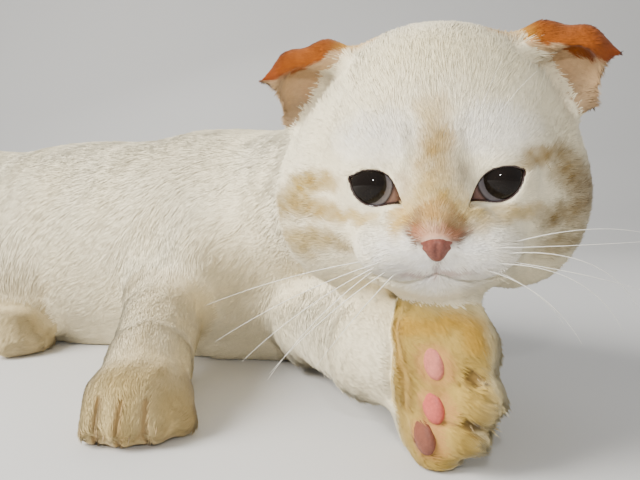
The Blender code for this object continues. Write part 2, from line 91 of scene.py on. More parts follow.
# The hide
# One unbroken skin over head, body, legs, ears and tail, from which the coat grows.
# It follows the solids, smoothed, and lies under their surface by the depth of the coat.

FLESH = [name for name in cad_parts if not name.startswith("eye")]
ROUGH_CELL = 0.0015
FINE_CELL = 0.0007
SEAM_FILL = 0.0008              # how far the surface is swelled to close the seams between solids
SMOOTHING_ROUNDS = 14
DEPTH_ROUNDS = 12
FLOOR_FADE = 0.012              # the hide comes down to the floor over this height
HIDE_THINNING = 0.03            # share of a cell by which flat stretches may be simplified
SHORT_PARTS = ("ear", "forepaw", "hind_foot")

# How deep the coat is over the hide, in millimetres
COAT_DEPTH = {
    "head": 2.4,
    "neck": 3.2,
    "torso": 3.2,
    "upper_foreleg": 2.8,
    "foreleg": 2.3,
    "forepaw": 1.1,
    "thigh": 3.2,
    "hind_foot": 1.3,
    "tail": 3.0,
    "ear": 0.6,
}


def kind_of(node):
    return next(kind for kind in COAT_DEPTH if node == kind or node.startswith(kind + "_"))


def triangles_of(nodes):
    """The corners and triangles of some solids, and which solid each triangle is of."""
    corners, triangles, owner = [], [], []
    count = 0
    for index, name in enumerate(nodes):
        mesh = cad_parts[name].data
        mesh.calc_loop_triangles()
        places = np.empty(len(mesh.vertices) * 3, dtype=np.float32)
        mesh.vertices.foreach_get("co", places)
        faces = np.empty(len(mesh.loop_triangles) * 3, dtype=np.int32)
        mesh.loop_triangles.foreach_get("vertices", faces)
        corners.append(places.reshape(-1, 3))
        triangles.append(faces.reshape(-1, 3) + count)
        owner.append(np.full(len(faces) // 3, index))
        count += len(mesh.vertices)
    return np.concatenate(corners), np.concatenate(triangles), np.concatenate(owner)


def mean_of_neighbours(values, edges, count):
    """For each corner, the mean of a value over the corners that share an edge with it."""
    total = np.zeros((count, values.shape[1]))
    for axis in range(values.shape[1]):
        total[:, axis] = np.bincount(edges[:, 0], values[edges[:, 1], axis], count)
        total[:, axis] += np.bincount(edges[:, 1], values[edges[:, 0], axis], count)
    share = np.bincount(edges.ravel(), minlength=count)
    return total / np.maximum(share, 1)[:, None]


def evened(values, edges, rounds, rate=0.5):
    """A value at each corner, spread over its neighbours this many times."""
    count = len(values)
    for _ in range(rounds):
        values = values + rate * (mean_of_neighbours(values, edges, count) - values)
    return values


def edges_of(mesh):
    edges = np.empty(len(mesh.edges) * 2, dtype=np.int32)
    mesh.edges.foreach_get("vertices", edges)
    return edges.reshape(-1, 2)


def corners_of(mesh):
    places = np.empty(len(mesh.vertices) * 3, dtype=np.float32)
    mesh.vertices.foreach_get("co", places)
    return places.reshape(-1, 3).astype(np.float64)


def normals_of(mesh):
    directions = np.empty(len(mesh.vertices) * 3, dtype=np.float32)
    mesh.vertex_normals.foreach_get("vector", directions)
    return directions.reshape(-1, 3).astype(np.float64)


solid_corners, solid_triangles, solid_owner = triangles_of(FLESH)
solid_tree = BVHTree.FromPolygons(solid_corners.tolist(), solid_triangles.tolist())


def nearest_solid(points):
    """Which of the flesh solids lies nearest to each point."""
    found = [solid_tree.find_nearest(point)[2] for point in points.tolist()]
    return solid_owner[np.array(found)]


def by_kind(table, owners):
    """A table's value for the kind of solid that owns each point."""
    values = np.array([table[kind_of(name)] for name in FLESH], dtype=np.float64)
    return values[owners]


def smooth_step(values, low, high):
    share = np.clip((values - low) / (high - low), 0.0, 1.0)
    return share * share * (3.0 - 2.0 * share)


NOSE_TIP = mm(0, -60, -17)


def face_depth_share(points):
    """The share of the coat's depth that is left near the nose, the lids and the lips."""
    local = in_head(points)
    from_nose = np.linalg.norm(local - NOSE_TIP, axis=-1)
    share = 0.12 + 0.88 * smooth_step(from_nose, 0.010, 0.055)
    for ball in EYE_BALL.values():
        from_eye = np.linalg.norm(points - ball, axis=-1)
        share = np.minimum(share, 0.10 + 0.90 * smooth_step(from_eye, 0.012, 0.030))
    return share


def rough_hide():
    """The solids as one smooth mesh, drawn in by the depth of the coat."""
    corners, triangles, _ = triangles_of(FLESH + ["eye_left", "eye_right"])
    volume = openvdb.FloatGrid.createLevelSetFromPolygons(
        (corners / ROUGH_CELL).astype(np.float32), triangles=triangles.astype(np.uint32), halfWidth=3.0
    )
    places, quads = volume.convertToQuads(SEAM_FILL / ROUGH_CELL)
    quads = quads[:, ::-1]      # these come facing inwards
    mesh = bpy.data.meshes.new("rough_hide")
    mesh.from_pydata(places * ROUGH_CELL, [], quads)
    edges = edges_of(mesh)
    places = corners_of(mesh)
    owners = nearest_solid(places)
    softness = by_kind({kind: 0.25 if kind in SHORT_PARTS else 1.0 for kind in COAT_DEPTH}, owners)
    softness = evened(softness[:, None], edges, 6)
    count = len(places)
    for _ in range(SMOOTHING_ROUNDS):
        places += 0.5 * softness * (mean_of_neighbours(places, edges, count) - places)
    mesh.vertices.foreach_set("co", places.astype(np.float32).ravel())
    mesh.update()
    depth = by_kind(COAT_DEPTH, owners) / 1000.0 * face_depth_share(places)
    depth *= smooth_step(places[:, 2], 0.0, FLOOR_FADE)
    depth = evened(depth[:, None], edges, DEPTH_ROUNDS)
    places -= normals_of(mesh) * (depth + SEAM_FILL)
    bpy.data.meshes.remove(mesh)
    return places, quads


# Lids, nose bed and mouth
# The hide is opened for each eye between an upper and a lower lid, and creased along the lips.
# The lids hug the eyeball and slant down to the inner corner.

LID_MIDDLE = mm(17.2, -33.4, -5.3)      # middle of the opening, on the left
LID_SLANT = math.radians(28)
LID_HALF_WIDTH = 0.0096
# How far each lid stands from the line between the eye's corners, inner to outer, in millimetres
UPPER_LID = [
    (-9.6, 0), (-8.4, 1.5), (-5.1, 3.9), (-3.8, 4.9), (-1.2, 6.3),
    (1.3, 6.5), (3.8, 5.9), (7.4, 3.7), (9.6, 0),
]
LOWER_LID = [
    (-9.6, 0), (-7.5, 0.5), (-5.2, 1.5), (-3.4, 2.9), (-1.5, 4.2),
    (1, 4.8), (2.9, 4.7), (6.2, 3.5), (9.6, 0),
]
UPPER_LID_OPEN = {-1: 1.0, 1: 0.84}     # the left eye is narrowed a little
LID_SAMPLES = 193
LID_EVENING = 0.0008                    # over which the corners of those tables are rounded off
LID_THICKNESS = 0.0012
LIDS_FROM = 0.002                       # how far in front of the ball's middle the lids begin
LID_SOFTNESS = 0.0020                   # over which they run into the face
OPENING_SOFTNESS = 0.0004
EYE_ROOM = 0.0002
SOCKET_SOFTNESS = 0.0002
GROOVE_SOFTNESS = 0.0008
MOUTH = [(-17, -31), (-12, -31.4), (-8, -30.6), (-3.2, -28.9), (0, -27.2)]
MOUTH_RADIUS = 0.0006
MOUTH_DEPTH = 0.0013
PHILTRUM = [mm(0, -61.5, -20), mm(0, -57, -27.5)]
PHILTRUM_RADIUS = 0.0006
PHILTRUM_SOFTNESS = 0.0010


def lid_axes(side):
    """Along the lids, outwards, and up from the opening, for one eye in the head's axes."""
    along = np.array([math.cos(LID_SLANT) * side, 0.0, math.sin(LID_SLANT)])
    up = np.array([-math.sin(LID_SLANT) * side, 0.0, math.cos(LID_SLANT)])
    return along, up


def lid_height(along, table):
    """How far a lid stands from the line between the corners of the eye."""
    outs, heights = np.array(table).T / 1000.0
    places = np.linspace(-LID_HALF_WIDTH, LID_HALF_WIDTH, LID_SAMPLES)
    spread = np.exp(-0.5 * ((places - places[LID_SAMPLES // 2]) / LID_EVENING) ** 2)
    rounded = np.convolve(np.interp(places, outs, heights), spread / spread.sum(), mode="same")
    return np.interp(along, places, rounded)


def opening_distance(local, side):
    """Distance to the almond between the lids, seen from the front and negative inside it."""
    along, up = lid_axes(side)
    offset = local - LID_MIDDLE * [side, 1, 1]
    out = offset @ along
    high = offset @ up
    raised = lid_height(out, UPPER_LID) * UPPER_LID_OPEN[side]
    across = np.maximum(high - raised, -high - lid_height(out, LOWER_LID))
    return np.maximum(across, np.abs(out) - LID_HALF_WIDTH)


def join(first, second, softness):
    """Both shapes, with the crease between them filled over about this width."""
    share = np.clip(0.5 + 0.5 * (second - first) / softness, 0.0, 1.0)
    return second + (first - second) * share - softness * share * (1.0 - share)


def carve(shape, hollow, softness):
    """The first shape without the second, with the edge between them rounded."""
    return -join(-shape, hollow, softness)


def pressed(shape, line, depth):
    """A groove of this depth in the surface along a line seen from outside."""
    return carve(shape, np.maximum(line, -(shape + depth)), GROOVE_SOFTNESS)


def rod(points, start, end, radius):
    """Distance to a round-ended rod from one place to another."""
    run = end - start
    along = np.clip((points - start) @ run / (run @ run), 0.0, 1.0)
    return np.linalg.norm(points - start - along[..., None] * run, axis=-1) - radius


def ellipsoid(points, centre, radii):
    """Distance to an ellipsoid, near enough close to its surface."""
    near = np.linalg.norm((points - centre) / radii, axis=-1)
    steep = np.linalg.norm((points - centre) / radii**2, axis=-1) + 1e-9
    return near * (near - 1.0) / steep


def mouth_distance(local):
    """Distance in the face's plane from the line between the lips."""
    places = [np.array([x, z]) / 1000.0 for x, z in MOUTH]
    flat = np.stack([-np.abs(local[..., 0]), local[..., 2]], axis=-1)
    return np.minimum.reduce([rod(flat, a, b, 0.0) for a, b in zip(places, places[1:])])


def shape_face(local, face):
    """The face with its lids, sockets and lips, from the distance to the plain hide."""
    for side in SIDES.values():
        centre = EYE_AT * [side, 1, 1]
        from_ball = np.linalg.norm(local - centre, axis=-1)
        behind = local[..., 1] - centre[1]
        lids = np.maximum(from_ball - EYE_RADIUS - LID_THICKNESS, behind + LIDS_FROM)
        face = join(face, lids, LID_SOFTNESS)
        opening = np.maximum(opening_distance(local, side), behind)
        face = carve(face, opening, OPENING_SOFTNESS)
        face = carve(face, from_ball - EYE_RADIUS - EYE_ROOM, SOCKET_SOFTNESS)
    face = pressed(face, mouth_distance(local) - MOUTH_RADIUS, MOUTH_DEPTH)
    return carve(face, rod(local, *PHILTRUM, PHILTRUM_RADIUS), PHILTRUM_SOFTNESS)


FACE_LOW, FACE_HIGH = mm(-36, -70, -42), mm(36, -26, 16)


# The forepaws' toes and palm
# The left forepaw is turned up, with grooves between its toes, a crease at the wrist, and slits where the
# claws are drawn in. The right one is flat on the floor, with shallow grooves between its toes.

PAW_TOES = unit(np.array([0.6, -0.75, -0.25]))
PAW_PALM = unit(np.array([-0.75, -0.62, 0.1]))
PAW_RAISED = unit(np.cross(PAW_PALM, PAW_TOES))
PAW_AXES = np.column_stack([PAW_TOES, PAW_PALM, PAW_RAISED])
PAW_MIDDLE = middle_of("forepaw_left") + mm(8, -2.4, -0.6)

# Along the toes and raised across the palm, in millimetres
PADS = [(5.7, 8.3), (9.8, -4.6), (9.9, -15.1)]
CLAW_SLITS = [(18.3, 8.9), (22.0, -4.9)]
TOE_GROOVES = [[(14.8, 5.6), (25.1, 4.7)], [(13.5, -8.2), (21.5, -5.9)]]
PALM_EDGE = [(-19, 17), (-15, 12), (-9.5, 6), (-8, -2), (-8, -11)]
PALM_CREASE = [(-12, 14), (-6.5, 7.5), (-2.0, 0), (-1.4, -9)]
SLIT_LINES = [[(along - 2.2, raised + 0.9), (along + 1.8, raised - 0.7)] for along, raised in CLAW_SLITS]

# What is pressed into the palm, with half the width and the depth of each, in metres
PALM_LINES = [(TOE_GROOVES, 0.0007, 0.0011), ([PALM_CREASE], 0.0009, 0.0005), ([PALM_EDGE], 0.0010, 0.0006)]
PALM_LINES += [([line], 0.0013, 0.0016) for line in SLIT_LINES]
PALM_FROM = -0.002              # how far out on the palm's side that reaches

# The grooves between the right toes: x at the top and at the floor
RIGHT_GROOVES = [(50.0, 50.6), (58.8, 59.6), (67.7, 68.9)]
RIGHT_GROOVE_TOP = 16.2
RIGHT_LINES = [[(top, RIGHT_GROOVE_TOP), (foot, 0.0)] for top, foot in RIGHT_GROOVES]
RIGHT_HALF_WIDTH, RIGHT_DEPTH = 0.0007, 0.0013


def in_paw(points):
    """Points as along the toes, out of the palm and raised across the forepaw that is turned up."""
    return (points - PAW_MIDDLE) @ PAW_AXES


def lines_distance(flat, *paths):
    """Distance in a plane from the nearest of some bent lines given in millimetres."""
    lengths = [(mm(*a), mm(*b)) for path in paths for a, b in zip(path, path[1:])]
    return np.minimum.reduce([rod(flat, a, b, 0.0) for a, b in lengths])


def shape_palm(local, paw):
    """The raised forepaw with its toes parted, its creases pressed in and the slits for its claws."""
    flat = local[..., [0, 2]]
    palm_side = local[..., 1] > PALM_FROM
    for lines, half_width, depth in PALM_LINES:
        paw = np.where(palm_side, pressed(paw, lines_distance(flat, *lines) - half_width, depth), paw)
    return paw


def shape_right_toes(points, paw):
    """The right forepaw with its toes parted."""
    line = lines_distance(points[..., [0, 2]], *RIGHT_LINES) - RIGHT_HALF_WIDTH
    return np.where(points[..., 1] < RIGHT_TOES_FROM, pressed(paw, line, RIGHT_DEPTH), paw)


PALM_LOW, PALM_HIGH = mm(-30, -4, -30), mm(34, 24, 34)
RIGHT_TOES_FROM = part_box("forepaw_right")[0].y + 0.022
TOES_LOW = np.array(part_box("forepaw_right")[0]) - 0.004
TOES_HIGH = np.array([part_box("forepaw_right")[1].x, RIGHT_TOES_FROM, 0.020])


def as_they_are(points):
    return points


# Where the hide is worked finely: the axes, the box in them, and what is shaped there
WORKED = [
    (in_head, SKULL, HEAD_AXES, FACE_LOW, FACE_HIGH, shape_face),
    (in_paw, PAW_MIDDLE, PAW_AXES, PALM_LOW, PALM_HIGH, shape_palm),
    (as_they_are, np.zeros(3), np.eye(3), TOES_LOW, TOES_HIGH, shape_right_toes),
]


def work_finely(volume, inward, middle, axes, box_low, box_high, shape):
    """Reworks the hide's distances inside one turned box."""
    reach = [middle + axes @ np.where(pick, box_high, box_low) for pick in np.ndindex(2, 2, 2)]
    low = np.floor(np.min(reach, axis=0) / FINE_CELL).astype(int)
    high = np.ceil(np.max(reach, axis=0) / FINE_CELL).astype(int)
    cells = np.full(high - low, volume.background, dtype=np.float32)
    volume.copyToArray(cells, tuple(int(v) for v in low))
    steps = [np.arange(a, b) * FINE_CELL for a, b in zip(low, high)]
    local = inward(np.stack(np.meshgrid(*steps, indexing="ij"), axis=-1))
    inside = np.all((local > box_low) & (local < box_high), axis=-1)
    cells[inside] = shape(local[inside], cells[inside] * FINE_CELL) / FINE_CELL
    np.clip(cells, -volume.background, volume.background, out=cells)
    volume.copyFromArray(cells, tuple(int(v) for v in low))


def fine_hide():
    """The hide with its lids, lips, toes and palm, as one closed mesh."""
    places, quads = rough_hide()
    volume = openvdb.FloatGrid.createLevelSetFromPolygons(
        (places / FINE_CELL).astype(np.float32), quads=quads.astype(np.uint32), halfWidth=5.0
    )
    for region in WORKED:
        work_finely(volume, *region)
    places, triangles, quads = volume.convertToPolygons(0.0, HIDE_THINNING)
    mesh = bpy.data.meshes.new("hide")
    faces = triangles[:, ::-1].tolist() + quads[:, ::-1].tolist()
    mesh.from_pydata(places * FINE_CELL, [], faces)
    return mesh


hide_mesh = fine_hide()
hide_places = corners_of(hide_mesh)
hide_edges = edges_of(hide_mesh)
hide_owners = nearest_solid(hide_places)


# The coat's markings
# Cream white all over, with tan bands on the cheeks, a beige streak between the eyes that runs down the
# bridge of the nose, ginger on the backs of the folded ears, and a warmer yellow on the paws and the tail.
# Some shade is painted into these colours as well: on the cat's left cheek and beside its bridge, low in the
# ear linings, in the palm's crease and claw slits, between the right toes, and over the hide under the coat.

DEEPENING = 1.25                # bright soft light pales every colour, so all are mixed a little deeper


def linear(red, green, blue):
    """A colour as the eye sees it, 0 to 255, as the share of light that the dyed hair gives back."""
    seen = np.array([red, green, blue]) / 255.0
    return np.where(seen <= 0.04045, seen / 12.92, ((seen + 0.055) / 1.055) ** 2.4) ** DEEPENING


COAT = linear(243, 233, 206)
SHADED_COAT = linear(237, 224, 188)
GINGER = linear(164, 98, 30)
DEEP_GINGER = linear(146, 78, 20)
EAR_YELLOW = linear(206, 160, 60)
EAR_LINING = linear(206, 176, 138)
# painted shade deep in the ear, low on its lining
EAR_PAINTED_SHADE = linear(186, 160, 128)
WARM_PAW = linear(176, 146, 50)
PALE_PAW = linear(230, 210, 150)
DEEP_YELLOW = linear(188, 148, 48)
# painted shade in the palm's wrist crease and in the slits of the drawn-in claws
CREASE_PAINTED_SHADE = linear(172, 136, 78)
SLIT_PAINTED_SHADE = linear(110, 84, 44)
PAD_EDGE = linear(204, 152, 104)
# painted shade in the grooves between the right toes
TOE_GROOVE_PAINTED_SHADE = linear(170, 120, 66)

# How far forward the right foreleg begins to turn yellow, and where it is full, in metres
WARM_RIGHT_LEG = (0.092, 0.128)

# Where the yellow of the palm begins, and the darker arc above its pads, along and raised in millimetres
PALM_EDGE_RAISED, PALM_EDGE_ALONG = mm(-25, -11, -2, 6, 12, 17, 30), mm(-6, -8, -8, -9.5, -15, -19, -22)
PALM_ARC = [(-8, 15), (1.9, 19.2), (6, 23.5), (10.3, 23.9), (15, 19)]

# Soft-edged patches in the head's axes: middle and radii in millimetres, colour, and how strong
FACE_PATCHES = [
    ((0, -54, -23), (20, 18, 10), (243, 240, 235), 0.9),
    ((-17, -41, 10), (13, 14, 6), (243, 240, 235), 0.6),
    ((17, -41, 10), (13, 14, 6), (243, 240, 235), 0.6),
    ((0.5, -42, 12), (4.2, 14, 8), (196, 166, 90), 0.60),
    ((0, -46, 4), (5.6, 14, 8), (168, 138, 76), 0.85),
    ((-7.5, -43, 4), (1.6, 12, 8), (160, 150, 124), 0.55),
    ((7.5, -43, 4), (1.6, 12, 8), (160, 150, 124), 0.55),
    # Painted shade in the hollow between the bridge and the inner corner of the cat's left eye
    ((8.5, -48, -2), (3.0, 10, 4), (146, 130, 106), 0.6),
    ((-8.5, -46, -4), (2.4, 10, 4), (186, 160, 128), 0.5),
    ((0, -54, -7.5), (7.0, 14, 6.4), (186, 156, 82), 0.9),
    ((0, -57, -11.5), (6.0, 12, 4.4), (192, 154, 96), 0.85),
    ((-9.4, -54, -11.5), (3.4, 9, 4.6), (200, 162, 60), 0.85),
    ((9.4, -54, -12.0), (4.2, 9, 4.4), (198, 166, 78), 0.8),
    ((-5.2, -57, -14.0), (2.4, 8, 4.0), (128, 88, 28), 0.95),
    ((4.9, -57, -14.0), (2.4, 8, 4.0), (120, 82, 28), 0.95),
    ((0, -58, -15.4), (5.4, 6, 2.0), (196, 138, 108), 0.8),
    ((-5.9, -57, -15.9), (1.1, 6, 0.9), (112, 76, 48), 0.7),
    ((-4.9, -58, -17.0), (1.1, 6, 0.8), (112, 76, 48), 0.7),
    ((-3.9, -58, -18.0), (1.0, 6, 0.8), (104, 66, 44), 0.7),
    ((5.9, -57, -15.9), (1.1, 6, 0.9), (104, 70, 46), 0.7),
    ((4.9, -58, -17.0), (1.1, 6, 0.8), (104, 70, 46), 0.7),
    ((3.9, -58, -18.0), (1.0, 6, 0.8), (96, 62, 42), 0.7),
    ((0, -58, -25.2), (0.8, 6, 2.8), (140, 96, 84), 0.6),
    ((0, -56, -27.0), (8, 8, 1.0), (180, 132, 118), 0.65),
    ((-35, -29, -3.2), (9, 14, 3.2), (172, 144, 70), 0.95),
    ((-42, -23, -7), (5, 14, 5.0), (176, 150, 78), 0.95),
    ((-48, -16, -12), (7, 16, 5), (166, 142, 80), 0.95),
    ((-33, -32, -12.2), (13, 14, 3.2), (174, 146, 74), 0.95),
    ((-21, -41, -12.8), (7, 12, 1.7), (198, 168, 92), 0.8),
    ((-34, -30, -21.5), (14, 14, 3.6), (184, 158, 90), 0.8),
    ((-45, -18, -25), (9, 14, 5), (188, 164, 102), 0.8),
    # The tan bands on the cat's left cheek are mixed deeper than on its right: tan marking with painted
    # shade, where the face turns from the key light
    ((30, -34, 1.6), (8, 12, 3.0), (166, 136, 70), 0.95),
    ((39, -25, -3), (6, 13, 6), (152, 126, 68), 0.95),
    ((45, -17, -12), (7, 14, 9), (140, 116, 68), 0.95),
    ((21, -42, -12.5), (9, 12, 2.4), (188, 160, 90), 0.85),
    ((35, -30, -16.0), (11, 13, 4.0), (150, 126, 72), 0.95),
    ((39, -24, -26), (13, 13, 5), (150, 130, 84), 0.85),
    ((-14, -36, 36), (22, 20, 12), (240, 228, 186), 0.5),
    ((16, -36, 34), (22, 20, 12), (240, 228, 186), 0.5),
    ((-18, -47, -27.4), (5, 5, 1.0), (176, 166, 162), 0.4),
    ((-9, -55, -24), (4, 4, 0.8), (196, 186, 182), 0.35),
    ((14, -51, -23.5), (5, 5, 0.9), (186, 176, 172), 0.35),
    ((-15, -48, -33), (1.3, 4, 0.9), (120, 108, 96), 0.6),
    ((21, -39, -9.8), (3.4, 5, 0.7), (96, 80, 70), 0.5),
]


def waver(points, size, seed):
    """A smooth random value from about -1 to 1 that changes over this distance."""
    draw = np.random.default_rng(seed)
    total = np.zeros(len(points))
    for _ in range(7):
        wave = unit(draw.normal(size=3)) * 2.0 * math.pi / size * draw.uniform(0.7, 1.4)
        total += np.sin(points @ wave + draw.uniform(0.0, 2.0 * math.pi))
    return total / 2.6


def laid_over(colours, share, colour):
    return colours + (colour - colours) * np.clip(share, 0.0, 1.0)[:, None]


def soft_patch(local, middle, radii):
    """A share that is 1 in the middle of an ellipsoid and fades to nothing outside it."""
    far = (((local - mm(*middle)) / mm(*radii)) ** 2).sum(axis=-1)
    return 1.0 - smooth_step(far, -0.2, 2.3)


# The lower edge of the ginger crescent of each folded ear: how far out, and how high, in millimetres
EAR_RIM_OUT = [20, 24, 31, 38, 48, 60]
EAR_RIM_HIGH = {"right": [40, 38.6, 38.0, 36.2, 33.2, 30.0], "left": [39, 37.4, 36.8, 35.6, 31.6, 27.2]}
EAR_ROOT = ((24, 2, 40), (8, 14, 5))    # the yellow patch of head inside each ear: middle and radii


def ear_back_share(local, side):
    """1 on the ginger back of the ear, above its rim and behind, and 0 on the lining below it in front."""
    out = local[:, 0] * SIDES[side]
    rim = np.interp(out * 1000.0, EAR_RIM_OUT, EAR_RIM_HIGH[side]) / 1000.0
    over = local[:, 2] - rim + 0.0004 * waver(local, 0.006, 3)
    behind = smooth_step(local[:, 1], 0.000, 0.006)
    return np.maximum(smooth_step(over, -0.0006, 0.0006), behind)


def ear_colours(local, side):
    """Ginger above the rim and behind, and a pale pinkish lining below it in front, darker low in the ear
    with painted shade.
    """
    out = local[:, 0] * SIDES[side]
    lining = np.tile(EAR_LINING, (len(local), 1))
    # painted shade: the lining turns darker low in the ear
    lining = laid_over(lining, smooth_step(-local[:, 2], -0.030, -0.018), EAR_PAINTED_SHADE)
    backs = np.tile(GINGER, (len(local), 1))
    backs = laid_over(backs, smooth_step(out, 0.044, 0.058), DEEP_GINGER)
    backs = laid_over(backs, 1.0 - smooth_step(out, 0.025, 0.035), EAR_YELLOW)
    return lining + (backs - lining) * ear_back_share(local, side)[:, None]


def marked_face(colours, local, on_head):
    """Colours with the face's patches laid over them, each with a wavering edge."""
    bent = local + 0.0007 * np.column_stack([waver(local, 0.009, seed) for seed in (21, 22, 23)])
    for middle, radii, colour, strength in FACE_PATCHES:
        share = strength * soft_patch(bent, middle, radii) * (local[:, 1] < 0.0)
        share *= 0.88 + 0.12 * waver(local, 0.004, 24)
        colours = laid_over(colours, share * on_head, linear(*colour))
    return colours


def marked_body(colours, points, names):
    """Colours with the yellow of legs and tail laid over them, in faint rings on the right foreleg."""
    rings = 0.5 + 0.5 * np.sin(points[:, 0] / 0.0042 + 1.5 * waver(points, 0.03, 31))
    on_leg = (names == "foreleg_right") | (names == "forepaw_right")
    toward_toes = smooth_step(-points[:, 1], *WARM_RIGHT_LEG)
    colours = laid_over(colours, on_leg * (0.20 + 0.08 * rings + 0.45 * toward_toes), WARM_PAW)
    on_hind = np.char.startswith(names, "hind_foot") | np.char.startswith(names, "tail")
    colours = laid_over(colours, on_hind * 0.5, WARM_PAW)
    on_thigh = np.char.startswith(names, "thigh")
    low = 1.0 - smooth_step(points[:, 2], 0.02, 0.07)
    return laid_over(colours, on_thigh * low * 0.35, WARM_PAW)


def marked_palm(colours, paw, on_paw):
    """Colours with the yellow of the raised palm laid over them, what lies round its pads, and painted shade
    in its wrist crease and claw slits.
    """
    edge = np.interp(paw[:, 2], PALM_EDGE_RAISED, PALM_EDGE_ALONG)
    palm = smooth_step(paw[:, 1], 0.000, 0.006) * smooth_step(paw[:, 0] - edge, 0.000, 0.002)
    palm *= 1.0 - 0.8 * smooth_step(paw[:, 2], 0.022, 0.030)
    tips = smooth_step(paw[:, 0], 0.020, 0.030)
    colours = laid_over(colours, on_paw * 0.6 * smooth_step(paw[:, 0] - edge, -0.001, 0.002), PALE_PAW)
    colours = laid_over(colours, on_paw * palm * (0.85 - 0.45 * tips), WARM_PAW)
    flat = paw[:, [0, 2]]
    facing = on_paw * (paw[:, 1] > 0.0)
    arc = 1.0 - smooth_step(lines_distance(flat, PALM_ARC), 0.0010, 0.0045)
    colours = laid_over(colours, facing * 0.55 * arc, DEEP_YELLOW)
    # painted shade along the wrist crease
    crease = 1.0 - smooth_step(lines_distance(flat, PALM_CREASE), 0.0008, 0.0035)
    colours = laid_over(colours, facing * 0.4 * crease, CREASE_PAINTED_SHADE)
    # painted shade in the claw slits, and the pads' own pinkish rims
    spots = [(mm(along - 0.8, raised), 0.0012, 0.0036, 0.8, SLIT_PAINTED_SHADE) for along, raised in CLAW_SLITS]
    spots += [(mm(along, raised), 0.0045, 0.0080, 0.6, PAD_EDGE) for along, raised in PADS]
    for middle, inner, outer, strength, colour in spots:
        near = 1.0 - smooth_step(np.linalg.norm(flat - middle, axis=-1), inner, outer)
        colours = laid_over(colours, facing * strength * near, colour)
    return colours


def fur_colours(points, owners):
    """The colour of the coat at each point, which the hide under it shares."""
    colours = np.tile(COAT, (len(points), 1))
    shade = 0.5 + 0.5 * waver(points, 0.05, 11)
    colours = laid_over(colours, 0.35 * shade, SHADED_COAT)
    names = np.array(FLESH)[owners]
    local = in_head(points)
    on_head = names == "head"
    colours = marked_face(colours, local, on_head)
    for side in SIDES:
        on_ear = names == f"ear_{side}"
        colours[on_ear] = ear_colours(local[on_ear], side)
        out = local[:, 0] * SIDES[side]
        yellow = soft_patch(np.column_stack([out, local[:, 1], local[:, 2]]), *EAR_ROOT)
        colours = laid_over(colours, 0.8 * yellow * on_head, EAR_YELLOW)
    colours = marked_body(colours, points, names)
    colours = marked_palm(colours, in_paw(points), names == "forepaw_left")
    # painted shade along the grooves between the right forepaw's toes
    groove_shade_share = 1.0 - smooth_step(lines_distance(points[:, [0, 2]], *RIGHT_LINES), 0.0004, 0.0022)
    toes = (names == "forepaw_right") & (points[:, 1] < RIGHT_TOES_FROM)
    colours = laid_over(colours, toes * 0.3 * groove_shade_share, TOE_GROOVE_PAINTED_SHADE)
    return np.clip(colours, 0.0, 1.0)


def paint(mesh, colours):
    """The colours as the mesh's own attribute."""
    layer = mesh.attributes.new("fur_colour", "FLOAT_COLOR", "POINT")
    rgba = np.column_stack([colours, np.ones(len(colours))])
    layer.data.foreach_set("color", rgba.astype(np.float32).ravel())


HIDE_SHADE = 0.97               # painted shade: the hide between the hairs is mixed a little darker than they are
paint(hide_mesh, HIDE_SHADE * fur_colours(hide_places, hide_owners))
hide_mesh.shade_smooth()


def new_finish(name, settings):
    """A material, the tree that more nodes are added to, and its shader with these settings."""
    material = bpy.data.materials.new(name)
    material.use_nodes = True
    tree = material.node_tree
    shader = tree.nodes["Principled BSDF"]
    for label, value in settings.items():
        shader.inputs[label].default_value = value
    return material, tree, shader


def new_group(name, kind, inputs, outputs):
    """A node group with its sockets, the means to add and link nodes in it, and its two ends."""
    group = bpy.data.node_groups.new(name, kind)
    for in_out, sockets in (("INPUT", inputs), ("OUTPUT", outputs)):
        for label, value in sockets.items():
            group.interface.new_socket(name=label, in_out=in_out, socket_type="NodeSocket" + value)
    add, link = group.nodes.new, group.links.new
    return group, add, link, add("NodeGroupInput"), add("NodeGroupOutput")


def doing(node, operation):
    """A node set to one kind of sum."""
    node.operation = operation
    return node


def group_in(tree, group, settings):
    """A group used as one node of a finish, with these settings."""
    node = tree.nodes.new("ShaderNodeGroup")
    node.node_tree = group
    for label, value in settings.items():
        node.inputs[label].default_value = value
    return node


def roughen(tree, shader, height, strength, distance):
    """Makes a finish uneven by a height."""
    raised = tree.nodes.new("ShaderNodeBump")
    raised.inputs["Strength"].default_value = strength
    raised.inputs["Distance"].default_value = distance
    tree.links.new(height, raised.inputs["Height"])
    tree.links.new(raised.outputs["Normal"], shader.inputs["Normal"])


